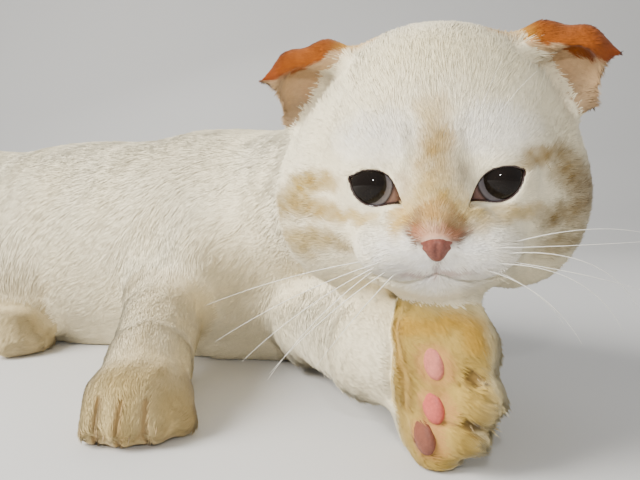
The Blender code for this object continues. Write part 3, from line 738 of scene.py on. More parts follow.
def fine_fibres():
    """The group that gives the fur its fine streaks of light and dark, and the same streaks as a height."""
    inputs = {"Colour": "Color", "Size": "Float", "Contrast": "Float"}
    outputs = {"Colour": "Color", "Height": "Float"}
    group, add, link, given, result = new_group("fine_fibres", "ShaderNodeTree", inputs, outputs)
    place, noise, spread = add("ShaderNodeTexCoord"), add("ShaderNodeTexNoise"), add("ShaderNodeMapRange")
    low = doing(add("ShaderNodeMath"), "SUBTRACT")
    high = doing(add("ShaderNodeMath"), "ADD")
    mixed = doing(add("ShaderNodeVectorMath"), "SCALE")
    noise.inputs["Detail"].default_value = 3.0
    low.inputs[0].default_value = 1.0
    high.inputs[0].default_value = 1.0
    spread.inputs["From Min"].default_value = 0.3
    spread.inputs["From Max"].default_value = 0.7
    link(place.outputs["Object"], noise.inputs["Vector"])
    link(given.outputs["Size"], noise.inputs["Scale"])
    link(given.outputs["Contrast"], low.inputs[1])
    link(given.outputs["Contrast"], high.inputs[1])
    link(noise.outputs["Fac"], spread.inputs["Value"])
    link(low.outputs[0], spread.inputs["To Min"])
    link(high.outputs[0], spread.inputs["To Max"])
    link(given.outputs["Colour"], mixed.inputs[0])
    link(spread.outputs[0], mixed.inputs["Scale"])
    link(mixed.outputs[0], result.inputs["Colour"])
    link(noise.outputs["Fac"], result.inputs["Height"])
    return group


FIBRES = fine_fibres()
FUR_SHADER = {"Roughness": 0.7, "Specular IOR Level": 0.25, "Sheen Weight": 0.12, "Sheen Roughness": 0.5}
FUR_BUMP_DISTANCE = 0.0004


def fur_finish(name, size, contrast, bump):
    """Matt fur in the mesh's own colours, with fibres of this size and contrast."""
    material, tree, shader = new_finish(name, FUR_SHADER)
    colour = tree.nodes.new("ShaderNodeAttribute")
    colour.attribute_name = "fur_colour"
    fibres = group_in(tree, FIBRES, {"Size": size, "Contrast": contrast})
    tree.links.new(colour.outputs["Color"], fibres.inputs["Colour"])
    tree.links.new(fibres.outputs["Colour"], shader.inputs["Base Color"])
    if bump:
        roughen(tree, shader, fibres.outputs["Height"], bump, FUR_BUMP_DISTANCE)
    return material


def placed(name, mesh, *replaced):
    """A finished piece in the scene, riding on the cat and standing for the solids it replaces."""
    piece = bpy.data.objects.new(name, mesh)
    bpy.context.scene.collection.objects.link(piece)
    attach(piece, "root")
    if replaced:
        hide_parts(*replaced)
    return piece


hide_mesh.materials.append(fur_finish("hide_under_the_coat", 900.0, 0.06, 0.4))
hide = placed("hide", hide_mesh, *FLESH)


# The coat
# Short, dense, fine hair in many thousand thin tufts, each a closed leaf of four faces rooted in the hide.
# It sweeps back from the nose, along the body to the tail and down the legs, a few degrees off the hide.

# For each kind of solid: tuft length and width in mm, lift in degrees, and tufts per square millimetre
TUFTS = {
    "head": (6.0, 0.27, 9, 3.8),
    "neck": (9.0, 0.42, 8, 1.4),
    "torso": (9.0, 0.46, 7.5, 1.1),
    "upper_foreleg": (7.4, 0.40, 8, 1.4),
    "foreleg": (6.2, 0.35, 8, 1.8),
    "forepaw": (3.6, 0.27, 7.5, 3.4),
    "thigh": (9.0, 0.46, 8, 1.05),
    "hind_foot": (4.6, 0.38, 9, 1.8),
    "tail": (9.5, 0.52, 10, 0.9),
    "ear": (2.0, 0.25, 7, 4.5),
}
NEXT_ALONG = {
    "neck": ("head", "torso"),
    "torso": ("torso", "tail_base"),
    "tail_base": ("tail_base", "tail_middle"),
    "tail_middle": ("tail_middle", "tail_tip"),
    "tail_tip": ("tail_middle", "tail_tip"),
}
for side in SIDES:
    NEXT_ALONG[f"upper_foreleg_{side}"] = (f"upper_foreleg_{side}", f"foreleg_{side}")
    NEXT_ALONG[f"foreleg_{side}"] = (f"foreleg_{side}", f"forepaw_{side}")
    NEXT_ALONG[f"forepaw_{side}"] = (f"foreleg_{side}", f"forepaw_{side}")
    NEXT_ALONG[f"thigh_{side}"] = (f"thigh_{side}", f"hind_foot_{side}")
TOES_AHEAD = {"forepaw_left": PAW_TOES, "hind_foot_left": unit(np.array([0.55, -0.8, -0.1]))}
TOES_AHEAD["hind_foot_right"] = unit(np.array([-0.1, -1.0, -0.1]))
FLOW_ROUNDS = 60
COMB_ROUNDS = 16


def flat_on(directions, normals):
    """Directions without the part of them that points out of the surface."""
    return directions - (directions * normals).sum(axis=-1, keepdims=True) * normals


def flow_at(points, owners, normals):
    """Which way the hair lies at each point."""
    local = in_head(points)
    names = np.array(FLESH)[owners]
    flow = np.zeros_like(points)
    for name, (start, end) in NEXT_ALONG.items():
        flow[names == name] = unit(middle_of(end) - middle_of(start))
    for name, ahead in TOES_AHEAD.items():
        flow[names == name] = ahead
    droop = (names == "torso") | (names == "neck")
    flow[droop] += np.array([0, 0, -0.45]) * (1.0 - np.abs(normals[droop, 2:]))
    forearm = names == "foreleg_left"
    flow[forearm] += np.array([-0.25, 0.1, -0.75])
    away = unit(local - NOSE_TIP)
    for side, ball in EYE_BALL.items():
        from_eye = points - ball
        near = np.exp(-((np.linalg.norm(from_eye, axis=-1) / 0.016) ** 2))[:, None]
        away += 1.1 * near * unit(from_eye) @ HEAD_AXES
    head = names == "head"
    flow[head] = away[head] @ HEAD_AXES.T
    for side, sign in SIDES.items():
        ear = names == f"ear_{side}"
        flow[ear] = HEAD_AXES @ unit(np.array([1.0 * sign, 0.1, -0.45]))
    return flat_on(flow, normals)


hide_normals = normals_of(hide_mesh)
hide_flow = flow_at(hide_places, hide_owners, hide_normals)
for _ in range(FLOW_ROUNDS):
    hide_flow = flat_on(evened(hide_flow, hide_edges, 1), hide_normals)
hide_flow = unit(hide_flow)
tuft_table = np.column_stack([
    by_kind({kind: sizes[column] for kind, sizes in TUFTS.items()}, hide_owners) for column in range(3)
])
face_share = 0.30 + 0.70 * face_depth_share(hide_places)
face_share = np.where(np.array([kind_of(n) != "ear" for n in FLESH])[hide_owners], face_share, 1.0)
tuft_table[:, 0] *= face_share
tuft_table[:, 1] *= 0.6 + 0.4 * face_share

# Longer hair in front of the ears, on their linings, along the edges of the raised paw and under its forearm
EAR_FRONT, EAR_FRONT_SIZE = (39, -14, 25), (9, 10, 9)
LINING_HAIR = 3.8
local = in_head(hide_places)
names = np.array(FLESH)[hide_owners]
folded = np.column_stack([np.abs(local[:, 0]), local[:, 1:]])
front = soft_patch(folded, EAR_FRONT, EAR_FRONT_SIZE) * (names == "head")
tuft_table[:, 0] += 4.0 * front
tuft_table[:, 2] += 9.0 * front
for side in SIDES:
    lining = (names == f"ear_{side}") * (1.0 - ear_back_share(local, side))
    tuft_table[:, 0] += (LINING_HAIR - TUFTS["ear"][0]) * lining
    tuft_table[:, 2] += 6.0 * lining
paw = in_paw(hide_places)
upper_edge = smooth_step(paw[:, 2], 0.018, 0.028)
back_edge = 1.0 - smooth_step(paw[:, 1], -0.006, 0.002)
fringe = (names == "forepaw_left") * np.maximum(upper_edge, back_edge)
tuft_table[:, 0] += 2.0 * fringe
tuft_table[:, 2] += 5.0 * fringe
under = (names == "foreleg_left") * (1.0 - smooth_step(hide_places[:, 2], 0.010, 0.030))
tuft_table[:, 0] += 2.0 * under
tuft_table[:, 2] += 4.0 * under
tuft_table = evened(tuft_table, hide_edges, COMB_ROUNDS)


def sown(seed):
    """Root places spread evenly over the hide, as a triangle and a place in it for each."""
    draw = np.random.default_rng(seed)
    hide_mesh.calc_loop_triangles()
    corners = np.empty(len(hide_mesh.loop_triangles) * 3, dtype=np.int32)
    hide_mesh.loop_triangles.foreach_get("vertices", corners)
    corners = corners.reshape(-1, 3)
    a, b, c = (hide_places[corners[:, k]] for k in range(3))
    area = np.linalg.norm(np.cross(b - a, c - a), axis=-1) / 2
    crowd = by_kind({kind: sizes[3] for kind, sizes in TUFTS.items()}, hide_owners[corners[:, 0]]) * 1e6
    crowd /= np.clip(face_share[corners[:, 0]], 0.55, 1.0)
    reach = np.cumsum(crowd * area)
    count = int(reach[-1])
    steps = (np.arange(count) + draw.random(count)) * reach[-1] / count
    picked = np.minimum(np.searchsorted(reach, steps), len(reach) - 1)
    first, second = draw.random(count), draw.random(count)
    over = first + second > 1.0
    first[over], second[over] = 1.0 - first[over], 1.0 - second[over]
    return corners[picked], np.column_stack([1.0 - first - second, first, second])


def blended(values, corners, weights):
    return np.einsum("nk,nkd->nd", weights, values[corners])


NOSE_BARE = (mm(0, -58, -18.6), mm(4.6, 6, 3.6))
PAD_RADII = mm(5.7, 3.8)        # along and across, before the pad is turned
PAD_TURN = math.radians(-52)
PAD_AXES = np.array([[math.cos(PAD_TURN), -math.sin(PAD_TURN)], [math.sin(PAD_TURN), math.cos(PAD_TURN)]])


def pad_share(paw, along, raised):
    """How far out in the pad a place in the paw's axes lies: less than 1 inside it, as seen on the palm."""
    across = (paw[:, [0, 2]] - mm(along, raised)) @ PAD_AXES
    share = np.linalg.norm(across / PAD_RADII, axis=-1)
    return np.where(paw[:, 1] > 0.0, share, np.inf)


def bare(points, normals):
    """Where no tuft grows: on the nose, the lids and the lips, in the sockets, and under the belly."""
    local = in_head(points)
    none = ellipsoid(local, *NOSE_BARE) < 0
    none |= (mouth_distance(local) < 0.0006) & (local[:, 1] < -0.045)
    for side, sign in SIDES.items():
        none |= np.linalg.norm(points - EYE_BALL[side], axis=-1) < EYE_RADIUS + 0.0006
        gap = opening_distance(local, sign)
        none |= (gap < 0.0007) & (local[:, 1] < EYES_FROM_SKULL[1]) & (np.abs(local[:, 0]) < 0.03)
    none |= (points[:, 2] < 0.002) & (normals[:, 2] < -0.6)
    paw = in_paw(points)
    for along, raised in PADS:
        none |= pad_share(paw, along, raised) < 0.82
    for along, raised in CLAW_SLITS:
        none |= (np.linalg.norm(paw[:, [0, 2]] - mm(along, raised), axis=-1) < 0.0016) & (paw[:, 1] > 0)
    return none


ROOT_SUNK = 0.0003
WIDEST = 0.40                   # how far along a tuft is widest
TIP_LIFT = 0.2                  # the share of its lift that is left from there to the tip
FLOOR_ROOM = 0.0002
TURN_WAVES = (10, 5)            # in degrees, over wide and short stretches of the coat
TURN_STRAY = 6                  # in degrees, from tuft to tuft
LENGTH_STRAY, WIDTH_STRAY, LIFT_STRAY = 0.16, 0.2, 0.22
LIFT_WAVE = 0.20
LEAST_LIFT, MOST_LIFT = math.radians(4), math.radians(40)
SIDE_SHADING = 0.12             # how far the shading turns to each side of a tuft


def tufts(roots, normals, flow, sizes, seed):
    """Four-cornered leaves, bent over towards the hide, with the shading normal of each corner."""
    draw = np.random.default_rng(seed)
    count = len(roots)
    turn = TURN_WAVES[0] * waver(roots, 0.016, 41) + TURN_WAVES[1] * waver(roots, 0.005, 42)
    turn = np.radians(turn + TURN_STRAY * draw.normal(size=count))
    side = np.cross(flow, normals)
    flow = flow * np.cos(turn)[:, None] + side * np.sin(turn)[:, None]
    side = np.cross(flow, normals)
    length = sizes[:, 0] / 1000 * (1.0 + LENGTH_STRAY * draw.normal(size=count)).clip(0.6, 1.4)
    width = sizes[:, 1] / 1000 * (1.0 + WIDTH_STRAY * draw.normal(size=count)).clip(0.5, 1.6)
    stray = 1.0 + LIFT_WAVE * waver(roots, 0.008, 43) + LIFT_STRAY * draw.normal(size=count)
    lift = (np.radians(sizes[:, 2]) * stray).clip(LEAST_LIFT, MOST_LIFT)
    rise = flow * np.cos(lift)[:, None] + normals * np.sin(lift)[:, None]
    fall = flow * np.cos(TIP_LIFT * lift)[:, None] + normals * np.sin(TIP_LIFT * lift)[:, None]
    root = roots - normals * ROOT_SUNK
    middle = roots + rise * (length * WIDEST)[:, None]
    tip = middle + fall * (length * (1.0 - WIDEST))[:, None]
    half = side * (width / 2)[:, None]
    places = np.stack([root, middle - half, middle + half, tip], axis=1)
    places[..., 2] = np.maximum(places[..., 2], FLOOR_ROOM)
    over = np.cross(side, rise)
    soft = unit(0.92 * normals + 0.08 * over)
    left, right = unit(soft - SIDE_SHADING * side), unit(soft + SIDE_SHADING * side)
    directions = np.stack([soft, left, right, soft], axis=1)
    return places, directions


def chart_places(roots, normals):
    """Each root's place on six flat charts of the skin, one for each way that it faces."""
    low, high = roots.min(axis=0), roots.max(axis=0)
    share = 0.02 + 0.96 * (roots - low) / np.maximum(high - low, 1e-6)
    axis = np.abs(normals).argmax(axis=1)
    back = (np.take_along_axis(normals, axis[:, None], axis=1)[:, 0] < 0).astype(int)
    first, second = (axis + 1) % 3, (axis + 2) % 3
    rows = np.arange(len(roots))
    return np.column_stack([(axis + share[rows, first]) / 3, (back + share[rows, second]) / 2])


LEAF = np.array([(0, 2, 1), (1, 2, 3), (0, 1, 3), (0, 3, 2)])
# Painted shade along each tuft: darker at its root, deep in the coat, and a little lighter at its tip, as
# painted light
LEAF_PAINTED_SHADE = np.array([0.96, 0.99, 0.99, 1.01])        # of the root, the two sides and the tip
BAKE_PATCH = 0.0015 * np.array([(0, -1), (-1, 0), (1, 0), (0, 1)])


def mesh_of(name, places, triangles):
    mesh = bpy.data.meshes.new(name)
    mesh.vertices.add(len(places))
    mesh.vertices.foreach_set("co", places.astype(np.float32).ravel())
    mesh.loops.add(triangles.size)
    mesh.loops.foreach_set("vertex_index", triangles.astype(np.int32).ravel())
    mesh.polygons.add(len(triangles))
    mesh.polygons.foreach_set("loop_start", np.arange(0, triangles.size, 3, dtype=np.int32))
    mesh.update(calc_edges=True)
    mesh.shade_smooth()
    return mesh


coat_finish = fur_finish("short_fur", 700.0, 0.05, 0.0)


def coat_piece(name, roots, normals, flow, sizes, colours, seed):
    """One stretch of the coat, as tufts with their colours and their place on the bake charts."""
    places, directions = tufts(roots, normals, flow, sizes, seed)
    count = len(roots)
    triangles = (LEAF[None] + 4 * np.arange(count)[:, None, None]).reshape(-1, 3)
    mesh = mesh_of(name, places.reshape(-1, 3), triangles)
    draw = np.random.default_rng(seed + 1)
    streaks = 1.0 + 0.015 * waver(roots, 0.003, 51) + 0.022 * draw.normal(size=count)
    # the tuft's colour with painted shade toward its root and a little painted light at its tip
    tinted = colours[:, None, :] * (streaks[:, None] * LEAF_PAINTED_SHADE)[..., None]
    paint(mesh, np.clip(tinted, 0.0, 1.0).reshape(-1, 3))
    mesh.normals_split_custom_set_from_vertices(directions.reshape(-1, 3))
    charts = mesh.uv_layers.new(name="OFBake")
    spots = (chart_places(roots, normals)[:, None, :] + BAKE_PATCH).reshape(-1, 2)
    charts.data.foreach_set("uv", spots[triangles.ravel()].astype(np.float32).ravel())
    mesh.materials.append(coat_finish)
    return placed(name, mesh)


MOST_TUFTS = 48000
COAT_PARTS = {
    "head": ("head",),
    "ears": ("ear_left", "ear_right"),
    "neck_and_back": ("neck", "torso"),
    "forelegs": ("upper_foreleg_left", "upper_foreleg_right", "foreleg_left", "foreleg_right"),
    "forepaws": ("forepaw_left", "forepaw_right"),
    "hindquarters": ("thigh_left", "thigh_right", "hind_foot_left", "hind_foot_right"),
    "tail": ("tail_base", "tail_middle", "tail_tip"),
}

corners, weights = sown(7)
roots = blended(hide_places, corners, weights)
normals = unit(blended(hide_normals, corners, weights))
kept = ~bare(roots, normals)
corners, weights, roots, normals = corners[kept], weights[kept], roots[kept], normals[kept]
flow = unit(flat_on(blended(hide_flow, corners, weights), normals))
sizes = blended(tuft_table, corners, weights)

# Tufts whose tips would lie over a pad, a claw slit, the nose or the eye are clipped short
CLIPPED = 0.35
REACH = 0.85                    # how far the tip lies from the root, as a share of the tuft's length
tips = roots + flow * (REACH / 1000.0) * sizes[:, :1]
local, paw = in_head(tips), in_paw(tips)
over = ellipsoid(local, *NOSE_BARE) < 0
for along, raised in PADS:
    over |= pad_share(paw, along, raised) < 0.84
for along, raised in CLAW_SLITS:
    over |= (np.linalg.norm(paw[:, [0, 2]] - mm(along, raised), axis=-1) < 0.0018) & (paw[:, 1] > 0)
for side in SIDES.values():
    over |= (opening_distance(local, side) < 0.0) & (local[:, 1] < EYES_FROM_SKULL[1])
sizes[over, 0] *= CLIPPED
owners = hide_owners[corners[:, 0]]
colours = fur_colours(roots, owners)
for part, nodes in COAT_PARTS.items():
    there = np.flatnonzero(np.isin(owners, [FLESH.index(node) for node in nodes]))
    there = there[np.argsort(roots[there, 0], kind="stable")]
    pieces = math.ceil(len(there) / MOST_TUFTS)
    for index, chosen in enumerate(np.array_split(there, pieces)):
        name = f"coat_{part}_{index + 1}" if pieces > 1 else f"coat_{part}"
        data = (array[chosen] for array in (roots, normals, flow, sizes, colours))
        coat_piece(name, *data, seed=100 + index)


# The eyes
# Two glossy balls, each with a bulging cornea over a wide round pupil and a thin grey ring of iris.
# They sit in the sockets behind the lids and look slightly past the camera.

GAZE = {"right": unit(np.array([-2.1, -10.5, 2.0])), "left": unit(np.array([1.8, -10.5, 1.9]))}
EYE_SEGMENTS = (72, 48)
CORNEA_RISE = 0.0009
CORNEA_EDGE = math.radians(42)
PUPIL_EDGE, IRIS_EDGE, RINGS_END = 34, 46, 60           # degrees from the gaze
IRIS_STREAK = 0.0175            # how far the streaks move the rings, as a share of the last angle
EYE_SHADER = {"Roughness": 0.03, "IOR": 1.376, "Specular IOR Level": 0.3}


def eye_rings():
    """The group that colours an eye by the angle from its gaze: pupil, iris, dark edge, then white."""
    inputs = {"Middle": "Vector", "Gaze": "Vector"}
    group, add, link, given, result = new_group("eye_rings", "ShaderNodeTree", inputs, {"Colour": "Color"})
    place, streaks, ramp = add("ShaderNodeTexCoord"), add("ShaderNodeTexNoise"), add("ShaderNodeMapRange")
    away = doing(add("ShaderNodeVectorMath"), "SUBTRACT")
    ray = doing(add("ShaderNodeVectorMath"), "NORMALIZE")
    facing = doing(add("ShaderNodeVectorMath"), "DOT_PRODUCT")
    angle = doing(add("ShaderNodeMath"), "ARCCOSINE")
    mixed = doing(add("ShaderNodeMath"), "MULTIPLY_ADD")
    colours = add("ShaderNodeValToRGB")
    ramp.inputs["From Max"].default_value = math.radians(RINGS_END)
    streaks.inputs["Scale"].default_value = 900.0
    mixed.inputs[1].default_value = 2.0 * IRIS_STREAK
    link(place.outputs["Object"], away.inputs[0])
    link(given.outputs["Middle"], away.inputs[1])
    link(away.outputs[0], ray.inputs[0])
    link(ray.outputs[0], facing.inputs[0])
    link(given.outputs["Gaze"], facing.inputs[1])
    link(facing.outputs["Value"], angle.inputs[0])
    link(angle.outputs[0], ramp.inputs["Value"])
    link(place.outputs["Object"], streaks.inputs["Vector"])
    link(streaks.outputs["Fac"], mixed.inputs[0])
    link(ramp.outputs[0], mixed.inputs[2])
    link(mixed.outputs[0], colours.inputs["Fac"])
    pupil, iris = PUPIL_EDGE / RINGS_END, IRIS_EDGE / RINGS_END
    stops = [
        (0.0, linear(36, 30, 26)),
        (pupil, linear(40, 34, 30)),
        (pupil + 0.03, linear(116, 112, 116)),
        (iris - 0.05, linear(134, 131, 136)),
        (iris + 0.01, linear(72, 60, 60)),
        (iris + 0.10, linear(150, 126, 122)),
    ]
    table = colours.color_ramp.elements
    while len(table) < len(stops):
        table.new(0.5)
    for element, (at, colour) in zip(table, stops):
        element.position = at + IRIS_STREAK
        element.color = (*colour, 1.0)
    link(colours.outputs["Color"], result.inputs["Colour"])
    return group


EYE_RINGS = eye_rings()
for side, ball in EYE_BALL.items():
    gaze = HEAD_AXES @ GAZE[side]
    shell = bmesh.new()
    around, down = EYE_SEGMENTS
    bmesh.ops.create_uvsphere(shell, u_segments=around, v_segments=down, radius=EYE_RADIUS)
    turn = Vector(gaze).to_track_quat("Z", "Y")
    for corner in shell.verts:
        spread = corner.co.angle(Vector((0, 0, 1))) / CORNEA_EDGE
        rise = CORNEA_RISE * max(0.0, 1.0 - spread * spread) ** 1.5
        corner.co = turn @ (corner.co + corner.co.normalized() * rise) + Vector(ball)
    eye_mesh = bpy.data.meshes.new(f"eyeball_{side}")
    shell.to_mesh(eye_mesh)
    shell.free()
    eye_mesh.shade_smooth()
    material, tree, shader = new_finish(f"wet_eye_{side}", EYE_SHADER)
    rings = group_in(tree, EYE_RINGS, {"Middle": ball, "Gaze": gaze})
    tree.links.new(rings.outputs["Colour"], shader.inputs["Base Color"])
    eye_mesh.materials.append(material)
    eye = placed(f"eyeball_{side}", eye_mesh, f"eye_{side}")


# The lid rims
# The bare dark edge of each lid, a soft moist bead that lies on the eyeball all round the opening.
# Its path follows the almond of the lids, and the same path tool later makes the whiskers.

def path_tool():
    """The Geometry Nodes tree that lays a round bead along a path, thinned by Taper towards its end."""
    inputs = {"Path": "Geometry", "Radius": "Float", "Taper": "Float", "Sides": "Int", "Finish": "Material"}
    outputs = {"Bead": "Geometry"}
    tree, add, link, given, result = new_group("bead_along_path", "GeometryNodeTree", inputs, outputs)
    curve, ring = add("GeometryNodeMeshToCurve"), add("GeometryNodeCurvePrimitiveCircle")
    tube, along = add("GeometryNodeCurveToMesh"), add("GeometryNodeSplineParameter")
    whole, finish = add("GeometryNodeRealizeInstances"), add("GeometryNodeSetMaterial")
    smooth = add("GeometryNodeSetShadeSmooth")
    negative = doing(add("ShaderNodeMath"), "MULTIPLY")
    thinner = doing(add("ShaderNodeMath"), "MULTIPLY_ADD")
    negative.inputs[1].default_value = -1.0
    thinner.inputs[2].default_value = 1.0
    tube.inputs["Fill Caps"].default_value = True
    link(given.outputs["Path"], curve.inputs["Mesh"])
    link(given.outputs["Sides"], ring.inputs["Resolution"])
    link(given.outputs["Radius"], ring.inputs["Radius"])
    link(given.outputs["Taper"], negative.inputs[0])
    link(along.outputs["Factor"], thinner.inputs[0])
    link(negative.outputs[0], thinner.inputs[1])
    link(curve.outputs["Curve"], tube.inputs["Curve"])
    link(ring.outputs["Curve"], tube.inputs["Profile Curve"])
    link(thinner.outputs[0], tube.inputs["Scale"])
    link(tube.outputs["Mesh"], smooth.inputs["Geometry"])
    link(smooth.outputs["Geometry"], whole.inputs["Geometry"])
    link(whole.outputs["Geometry"], finish.inputs["Geometry"])
    link(given.outputs["Finish"], finish.inputs["Material"])
    link(finish.outputs["Geometry"], result.inputs["Bead"])
    return tree


PATH_TOOL = path_tool()


def beads(name, paths, closed, **given):
    """Beads along some paths, as one plain mesh."""
    places, edges = [], []
    for path in paths:
        first = len(places)
        places.extend(path)
        edges.extend((first + k, first + k + 1) for k in range(len(path) - 1))
        if closed:
            edges.append((first + len(path) - 1, first))
    wire = bpy.data.meshes.new(name + "_path")
    wire.from_pydata([tuple(place) for place in places], edges, [])
    carrier = bpy.data.objects.new(name + "_path", wire)
    bpy.context.scene.collection.objects.link(carrier)
    work = carrier.modifiers.new("beads", "NODES")
    work.node_group = PATH_TOOL
    for item in PATH_TOOL.interface.items_tree:
        if item.in_out == "INPUT" and item.name in given:
            work[item.identifier] = given[item.name]
    carrier.update_tag()
    seen = carrier.evaluated_get(bpy.context.evaluated_depsgraph_get())
    mesh = bpy.data.meshes.new_from_object(seen)
    mesh.name = name
    carrier.modifiers.remove(work)
    bpy.data.objects.remove(carrier)
    return mesh


LID_SHADER = {"Base Color": (*linear(74, 54, 48), 1.0), "Roughness": 0.35, "Coat Weight": 0.4}
lid_finish, tree, shader = new_finish("moist_lid_rim", LID_SHADER)
pores = tree.nodes.new("ShaderNodeTexNoise")
pores.inputs["Scale"].default_value = 2500.0
roughen(tree, shader, pores.outputs["Fac"], 0.3, 0.0001)

RIM_RADIUS = 0.00050
RIM_STANDS = 0.00040
RIM_STEPS = 44
CORNER_DEPTH = 0.0034           # how far the rim's inner corner stands in front of the ball's middle


def lid_path(side):
    """The edge of both lids as a ring of places on the eyeball."""
    along, up = lid_axes(side)
    centre = EYE_AT * [side, 1, 1]
    turns = np.linspace(0.0, 2.0 * math.pi, 2 * RIM_STEPS, endpoint=False)
    out = LID_HALF_WIDTH * np.cos(turns)
    raised = lid_height(out, UPPER_LID) * UPPER_LID_OPEN[side]
    high = np.where(np.sin(turns) > 0, raised, -lid_height(out, LOWER_LID))
    flat = LID_MIDDLE * [side, 1, 1] + out[:, None] * along + high[:, None] * up
    reach = (EYE_RADIUS + RIM_STANDS) ** 2 - (flat[:, 0] - centre[0]) ** 2 - (flat[:, 2] - centre[2]) ** 2
    flat[:, 1] = centre[1] - np.sqrt(np.maximum(reach, CORNER_DEPTH**2))
    return SKULL + flat @ HEAD_AXES.T


for side, sign in SIDES.items():
    rim_given = {"Radius": RIM_RADIUS, "Taper": 0.0, "Sides": 8, "Finish": lid_finish}
    rim = beads(f"lid_rim_{side}", [lid_path(sign)], True, **rim_given)
    placed(f"lid_rim_{side}", rim)


# The nose leather
# Bare brownish-pink skin, finely pebbled, with a groove down the middle and a comma-shaped nostril on each
# side. It is set into the end of the nose bridge.

NOSE_CELL = 0.00028
NOSE_LOW, NOSE_HIGH = mm(-8, -64, -23), mm(8, -51, -11)


def solid_mesh(name, low, high, cell, distance):
    """The closed surface where a distance, given in the head's axes, is zero."""
    steps = [np.arange(a, b, cell) for a, b in zip(low, high)]
    points = np.stack(np.meshgrid(*steps, indexing="ij"), axis=-1)
    volume = openvdb.FloatGrid(1.0)
    volume.copyFromArray((distance(points) / cell).clip(-4, 4).astype(np.float32))
    places, quads = volume.convertToQuads(0.0)
    mesh = bpy.data.meshes.new(name)
    mesh.from_pydata(places * cell + low, [], quads.tolist())
    mesh.shade_smooth()
    return mesh


def to_row(mesh, middle, axes):
    """Moves a mesh from its own axes to the cat's."""
    places = middle + corners_of(mesh) @ axes.T
    mesh.vertices.foreach_set("co", places.astype(np.float32).ravel())
    if np.linalg.det(axes) < 0.0:
        mesh.flip_normals()     # those axes are left-handed, which turns a mesh inside out
    mesh.update()


def nose_distance(points):
    """The nose's pad and tip with a wing and a nostril on each side, and the groove down the middle."""
    pad = ellipsoid(points, mm(0, -56.5, -17.8), mm(4.0, 4.0, 2.3))
    tip = ellipsoid(points, mm(0, -56.4, -19.6), mm(2.7, 3.6, 3.6))
    shape = join(pad, tip, 0.0030)
    for sign in (-1, 1):
        wing = ellipsoid(points, mm(3.7 * sign, -55.8, -18.1), mm(1.7, 3.0, 1.3))
        shape = join(shape, wing, 0.0016)
        slit = rod(points, mm(3.0 * sign, -60.2, -18.0), mm(6.0 * sign, -57.4, -19.0), 0.0007)
        comma = rod(points, mm(3.0 * sign, -60.2, -18.0), mm(2.9 * sign, -60.2, -17.0), 0.0006)
        shape = carve(shape, join(slit, comma, 0.0005), 0.0008)
    return carve(shape, rod(points, mm(0, -61.2, -17.4), mm(0, -59.6, -23), 0.0005), 0.0008)


nose_mesh = solid_mesh("nose_leather", NOSE_LOW, NOSE_HIGH, NOSE_CELL, nose_distance)
to_row(nose_mesh, SKULL, HEAD_AXES)


def pebbled_skin():
    """The group that pebbles bare skin: a colour with painted shade in its grooves, stronger in some blotches
    than others, and their height.
    """
    inputs = {"Colour": "Color", "Grooves": "Color", "Size": "Float"}
    outputs = {"Colour": "Color", "Height": "Float"}
    group, add, link, given, result = new_group("pebbled_skin", "ShaderNodeTree", inputs, outputs)
    place, cells, blotches = add("ShaderNodeTexCoord"), add("ShaderNodeTexVoronoi"), add("ShaderNodeTexNoise")
    total = doing(add("ShaderNodeMath"), "MULTIPLY")
    invert = doing(add("ShaderNodeMath"), "SUBTRACT")
    mixed = add("ShaderNodeMix")
    mixed.data_type = "RGBA"
    blotches.inputs["Scale"].default_value = 260.0
    invert.inputs[0].default_value = 1.0
    link(place.outputs["Object"], cells.inputs["Vector"])
    link(place.outputs["Object"], blotches.inputs["Vector"])
    link(given.outputs["Size"], cells.inputs["Scale"])
    link(cells.outputs["Distance"], total.inputs[0])
    link(blotches.outputs["Fac"], total.inputs[1])
    # painted shade: the colour turns towards the darker groove colour where the cells' edges lie low
    link(total.outputs[0], mixed.inputs["Factor"])
    link(given.outputs["Colour"], mixed.inputs[6])
    link(given.outputs["Grooves"], mixed.inputs[7])
    link(mixed.outputs[2], result.inputs["Colour"])
    link(cells.outputs["Distance"], invert.inputs[1])
    link(invert.outputs[0], result.inputs["Height"])
    return group


PEBBLES = pebbled_skin()


def bare_skin(name, colour, grooves, size, roughness):
    """Pebbled skin of one colour with painted shade in its grooves, both colours given as the eye sees them.
    """
    material, tree, shader = new_finish(name, {"Roughness": roughness})
    settings = {"Colour": (*linear(*colour), 1.0), "Grooves": (*linear(*grooves), 1.0), "Size": size}
    skin = group_in(tree, PEBBLES, settings)
    tree.links.new(skin.outputs["Colour"], shader.inputs["Base Color"])
    roughen(tree, shader, skin.outputs["Height"], 0.5, 0.0002)
    return material


nose_mesh.materials.append(bare_skin("nose_leather", (144, 92, 78), (98, 58, 48), 1500.0, 0.5))
placed("nose_leather", nose_mesh)


# The inner corners
# A small moist pink mound of flesh in the inner corner of each eye, in front of the ball.
# It runs down into the point where the two lids meet.

CORNER_CELL = 0.0003
CORNER_AT = mm(11.3, -37.4, -8.6)
CORNER_RADII = mm(3.0, 1.9, 1.7)
CORNER_ROOM = 0.0035

corner_finish = bare_skin("moist_corner", (158, 126, 122), (112, 82, 80), 1800.0, 0.3)
for side, sign in SIDES.items():
    along, up = lid_axes(sign)
    centre = CORNER_AT * [sign, 1, 1]
    turned = np.column_stack([along, [0.0, 1.0, 0.0], up])

    def corner_distance(points):
        return ellipsoid((points - centre) @ turned, np.zeros(3), CORNER_RADII)

    low, high = centre - CORNER_ROOM, centre + CORNER_ROOM
    flesh = solid_mesh(f"inner_corner_{side}", low, high, CORNER_CELL, corner_distance)
    to_row(flesh, SKULL, HEAD_AXES)
    flesh.materials.append(corner_finish)
    placed(f"inner_corner_{side}", flesh)


# The pads
# Three soft pads of bare pebbled skin, set in the fur of the raised palm and a little proud of it.
# They are pink, and the lowest one is browner and painted darker as painted shade.

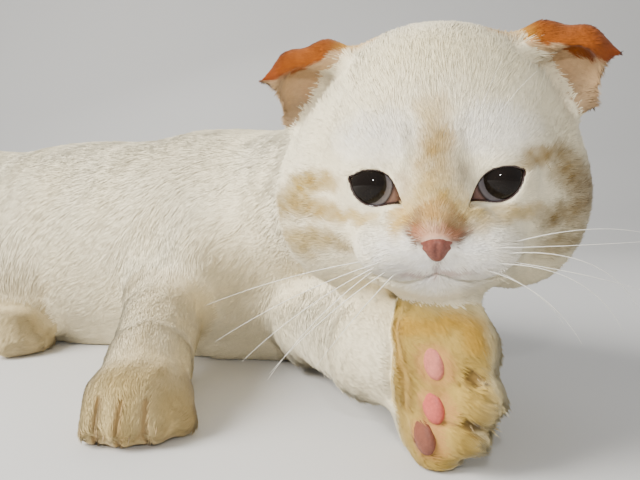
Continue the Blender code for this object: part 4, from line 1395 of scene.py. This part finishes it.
PALM_OUT, CLAW_OUT = 10.0, 4.5  # how far out of the palm its pads and claws are looked for, in millimetres
PAD_DEPTH = 0.0027
PAD_SUNK = 0.0014
PAD_CELL = 0.00035
PAD_ROOM = 0.0065
PAD_SHAPE = np.array([PAD_RADII[0], PAD_DEPTH, PAD_RADII[1]])
# The lowest pad is browner, and mixed darker as painted shade
PAD_COLOURS = [(212, 140, 124), (208, 116, 104), (148, 98, 80)]
hide_tree = BVHTree.FromPolygons(hide_places.tolist(), [list(face.vertices) for face in hide_mesh.polygons])


def on_palm(along, out, raised):
    """The place of the hide that is nearest to one given in the paw's axes."""
    start = PAW_MIDDLE + PAW_AXES @ mm(along, out, raised)
    return in_paw(np.array(hide_tree.find_nearest(Vector(start))[0]))


turned = np.eye(3)
turned[np.ix_([0, 2], [0, 2])] = PAD_AXES
for index, ((along, raised), colour) in enumerate(zip(PADS, PAD_COLOURS)):
    centre = on_palm(along, PALM_OUT, raised) - [0.0, PAD_SUNK, 0.0]
    name = f"toe_pad_{index + 1}"

    def pad_distance(points):
        return ellipsoid((points - centre) @ turned, np.zeros(3), PAD_SHAPE)

    pad = solid_mesh(name, centre - PAD_ROOM, centre + PAD_ROOM, PAD_CELL, pad_distance)
    to_row(pad, PAW_MIDDLE, PAW_AXES)
    # the darker colour of the painted shade in the pad's grooves
    dark = tuple(int(0.8 * value) for value in colour)
    pad.materials.append(bare_skin(name, colour, dark, 1100.0, 0.5))
    placed(name, pad)


# The claws
# Short curved claws of horn, drawn in so far that only two show in the slits of the raised paw and four
# tips between the hairs of the right one. They are laid along short paths with the tool of the lid rims.

CLAW_RADIUS = 0.0008
CLAW_ARCH = 0.0004
CLAW_STEPS = 8
claw_finish = bare_skin("horn", (190, 168, 130), (150, 126, 90), 700.0, 0.3)


def arched(start, end, rise):
    """Places from one point to another over a rise between them."""
    share = np.linspace(0.0, 1.0, CLAW_STEPS)[:, None]
    return start + (end - start) * share + rise * 4.0 * share * (1.0 - share)


claw_paths = []
for along, raised in CLAW_SLITS:
    at = on_palm(along, CLAW_OUT, raised)
    start = PAW_MIDDLE + PAW_AXES @ (at + mm(-1.6, -1.2, 0.6))
    end = PAW_MIDDLE + PAW_AXES @ (at + mm(1.5, -0.3, -0.6))
    claw_paths.append(arched(start, end, PAW_PALM * CLAW_ARCH))
RIGHT_CLAWS = [(45.9, 6.1), (54.6, 4.8), (63.4, 4.8), (72.1, 6.8)]
for across, high in RIGHT_CLAWS:
    start = np.array(hide_tree.ray_cast(Vector(mm(across, -175, high)), Vector((0, 1, 0)))[0])
    claw_paths.append(arched(start + mm(0, 1.6, 0.9), start + mm(0, -1.4, -1.6), mm(0, -0.5, 0.5)))
claws = beads("claws", claw_paths, False, Radius=CLAW_RADIUS, Taper=0.92, Sides=10, Finish=claw_finish)
placed("claws", claws)


# The whiskers
# Long stiff white hairs in rows on the whisker pads, tapered to a point, and shorter ones over the eyes.
# On the cat's right they hang down and out, and on its left they stand out and curl down at the end.

WHISKER_RADIUS = 0.00015
WHISKER_STEPS = 22
# Root, a place that the hair bends towards, and tip, in millimetres in the head's axes
WHISKERS = [
    ((-15, -54, -22.5), (-38, -62, -28), (-66, -60, -46)),
    ((-16.5, -53, -24), (-38, -62, -33), (-58, -61, -52)),
    ((-14, -54, -26), (-32, -62, -36), (-50, -60, -56)),
    ((-18, -51, -26.5), (-36, -58, -38), (-52, -56, -60)),
    ((-12, -55, -27.5), (-24, -62, -38), (-36, -60, -54)),
    ((-19.5, -49, -23.5), (-44, -56, -26), (-72, -50, -38)),
    ((15, -54, -20.5), (38, -52, -21), (64, -38, -23)),
    ((17, -52, -22), (44, -54, -20), (58, -40, -44)),
    ((15, -54, -23.5), (40, -56, -24), (52, -46, -48)),
    ((18.5, -50, -23.5), (42, -52, -28), (60, -40, -38)),
    ((13, -55, -25.5), (30, -56, -31), (40, -50, -50)),
    ((19, -49, -20.5), (46, -44, -15), (66, -32, -24)),
    ((16, -52, -26.5), (30, -52, -34), (36, -46, -46)),
]
BROW_HAIRS = [
    ((-15, -43, 9), (-19, -54, 20), (-26, -56, 28)),
    ((-12, -43, 10), (-14, -55, 21), (-18, -58, 30)),
    ((14, -43, 9), (18, -54, 19), (26, -56, 26)),
    ((11, -43, 10), (13, -55, 20), (17, -58, 29)),
]


def rooted(root, bend, tip):
    """Places along a hair from its root, moved onto the hide, to its tip, drawn towards the bend."""
    share = np.linspace(0.0, 1.0, WHISKER_STEPS)[:, None]
    root, bend, tip = mm(*root), mm(*bend), mm(*tip)
    path = root * (1.0 - share) ** 2 + 2.0 * bend * share * (1.0 - share) + tip * share**2
    path = SKULL + path @ HEAD_AXES.T
    found = hide_tree.find_nearest(Vector(path[0]))[0]
    return path + (np.array(found) - path[0]) * np.linspace(1.0, 0.0, WHISKER_STEPS)[:, None]


whisker_finish, tree, shader = new_finish("whisker", {"Roughness": 0.35})
bands, mixed = tree.nodes.new("ShaderNodeTexNoise"), tree.nodes.new("ShaderNodeMix")
bands.inputs["Scale"].default_value = 90.0
mixed.data_type = "RGBA"
mixed.inputs[6].default_value = (*linear(250, 248, 240), 1.0)
mixed.inputs[7].default_value = (*linear(236, 230, 214), 1.0)
tree.links.new(bands.outputs["Fac"], mixed.inputs["Factor"])
tree.links.new(mixed.outputs[2], shader.inputs["Base Color"])
HAIRS = [("whiskers", WHISKERS, WHISKER_RADIUS, 6), ("brow_hairs", BROW_HAIRS, 0.5 * WHISKER_RADIUS, 5)]
for name, hairs, radius, around in HAIRS:
    given = {"Radius": radius, "Taper": 0.8, "Sides": around, "Finish": whisker_finish}
    placed(name, beads(name, [rooted(*hair) for hair in hairs], False, **given))


# The stage and the light
# A pale floor that curves up into a backdrop, a broad soft light high to the left of the picture, faint ones
# from the right and from behind, and a small one near the camera, which gives each eye its bright spot.

BACKDROP = [(-1.6, 0.0), (0.9, 0.0), (1.25, 0.06), (1.5, 0.25), (1.6, 0.6), (1.62, 2.0)]
STAGE_HALF_WIDTH = 2.5
stage_mesh = bpy.data.meshes.new("stage")
stage_corners = [(x, y, z) for y, z in BACKDROP for x in (-STAGE_HALF_WIDTH, STAGE_HALF_WIDTH)]
stage_faces = [(2 * k, 2 * k + 1, 2 * k + 3, 2 * k + 2) for k in range(len(BACKDROP) - 1)]
stage_mesh.from_pydata(stage_corners, [], stage_faces)
stage_mesh.shade_smooth()
FLOOR_SHADER = {"Base Color": (0.62, 0.61, 0.59, 1.0), "Roughness": 0.8}
stage_finish, tree, shader = new_finish("pale_floor", FLOOR_SHADER)
stage_mesh.materials.append(stage_finish)
stage = bpy.data.objects.new("stage", stage_mesh)
bpy.context.scene.collection.objects.link(stage)

world = bpy.data.worlds.new("soft_room")
bpy.context.scene.world = world
world.use_nodes = True
sky = world.node_tree.nodes["Background"]
sky.inputs["Color"].default_value = (0.95, 0.97, 1.0, 1.0)
sky.inputs["Strength"].default_value = 0.55

EYES_MIDDLE = Vector((EYE_BALL["right"] + EYE_BALL["left"]) / 2)


def soft_light(name, place, target, size, power, colour=(1.0, 1.0, 1.0), mirrored=False):
    """A square light that shines from a place at a target, and shows in the eyes only if mirrored."""
    lamp = bpy.data.lights.new(name, "AREA")
    lamp.size = size
    lamp.energy = power
    lamp.color = colour
    light = bpy.data.objects.new(name, lamp)
    light.location = place
    light.visible_glossy = mirrored
    light.rotation_euler = (target - Vector(place)).to_track_quat("-Z", "Y").to_euler()
    bpy.context.scene.collection.objects.link(light)


soft_light("key_light", (-1.1, -0.5, 0.85), Vector((0, -0.05, 0.06)), 0.9, 62.0, (1.0, 0.985, 0.95))
soft_light("side_light", (1.2, -0.5, 0.6), Vector((0.1, -0.1, 0.06)), 0.8, 0.5, (0.94, 0.97, 1.0))
soft_light("back_light", (-0.4, 1.1, 1.0), Vector((0, 0.05, 0.06)), 0.8, 6.0)
by_camera = EYES_MIDDLE + Vector((-0.03, -0.22, 0.075))
soft_light("eye_light", by_camera, EYES_MIDDLE, 0.010, 0.3, mirrored=True)

# The camera is close in front of the face, a little to the cat's right, and looks slightly down.
CAMERA_FROM_EYES = Vector((-0.03535, -0.18535, -0.00785))
camera = bpy.data.cameras.new("camera")
camera.lens = 33.75
camera.sensor_width = 36
camera.clip_start = 0.01
view = bpy.data.objects.new("camera", camera)
view.location = EYES_MIDDLE + CAMERA_FROM_EYES
view.rotation_euler = (math.radians(87), 0.0, 0.0)
bpy.context.scene.collection.objects.link(view)
bpy.context.scene.camera = view
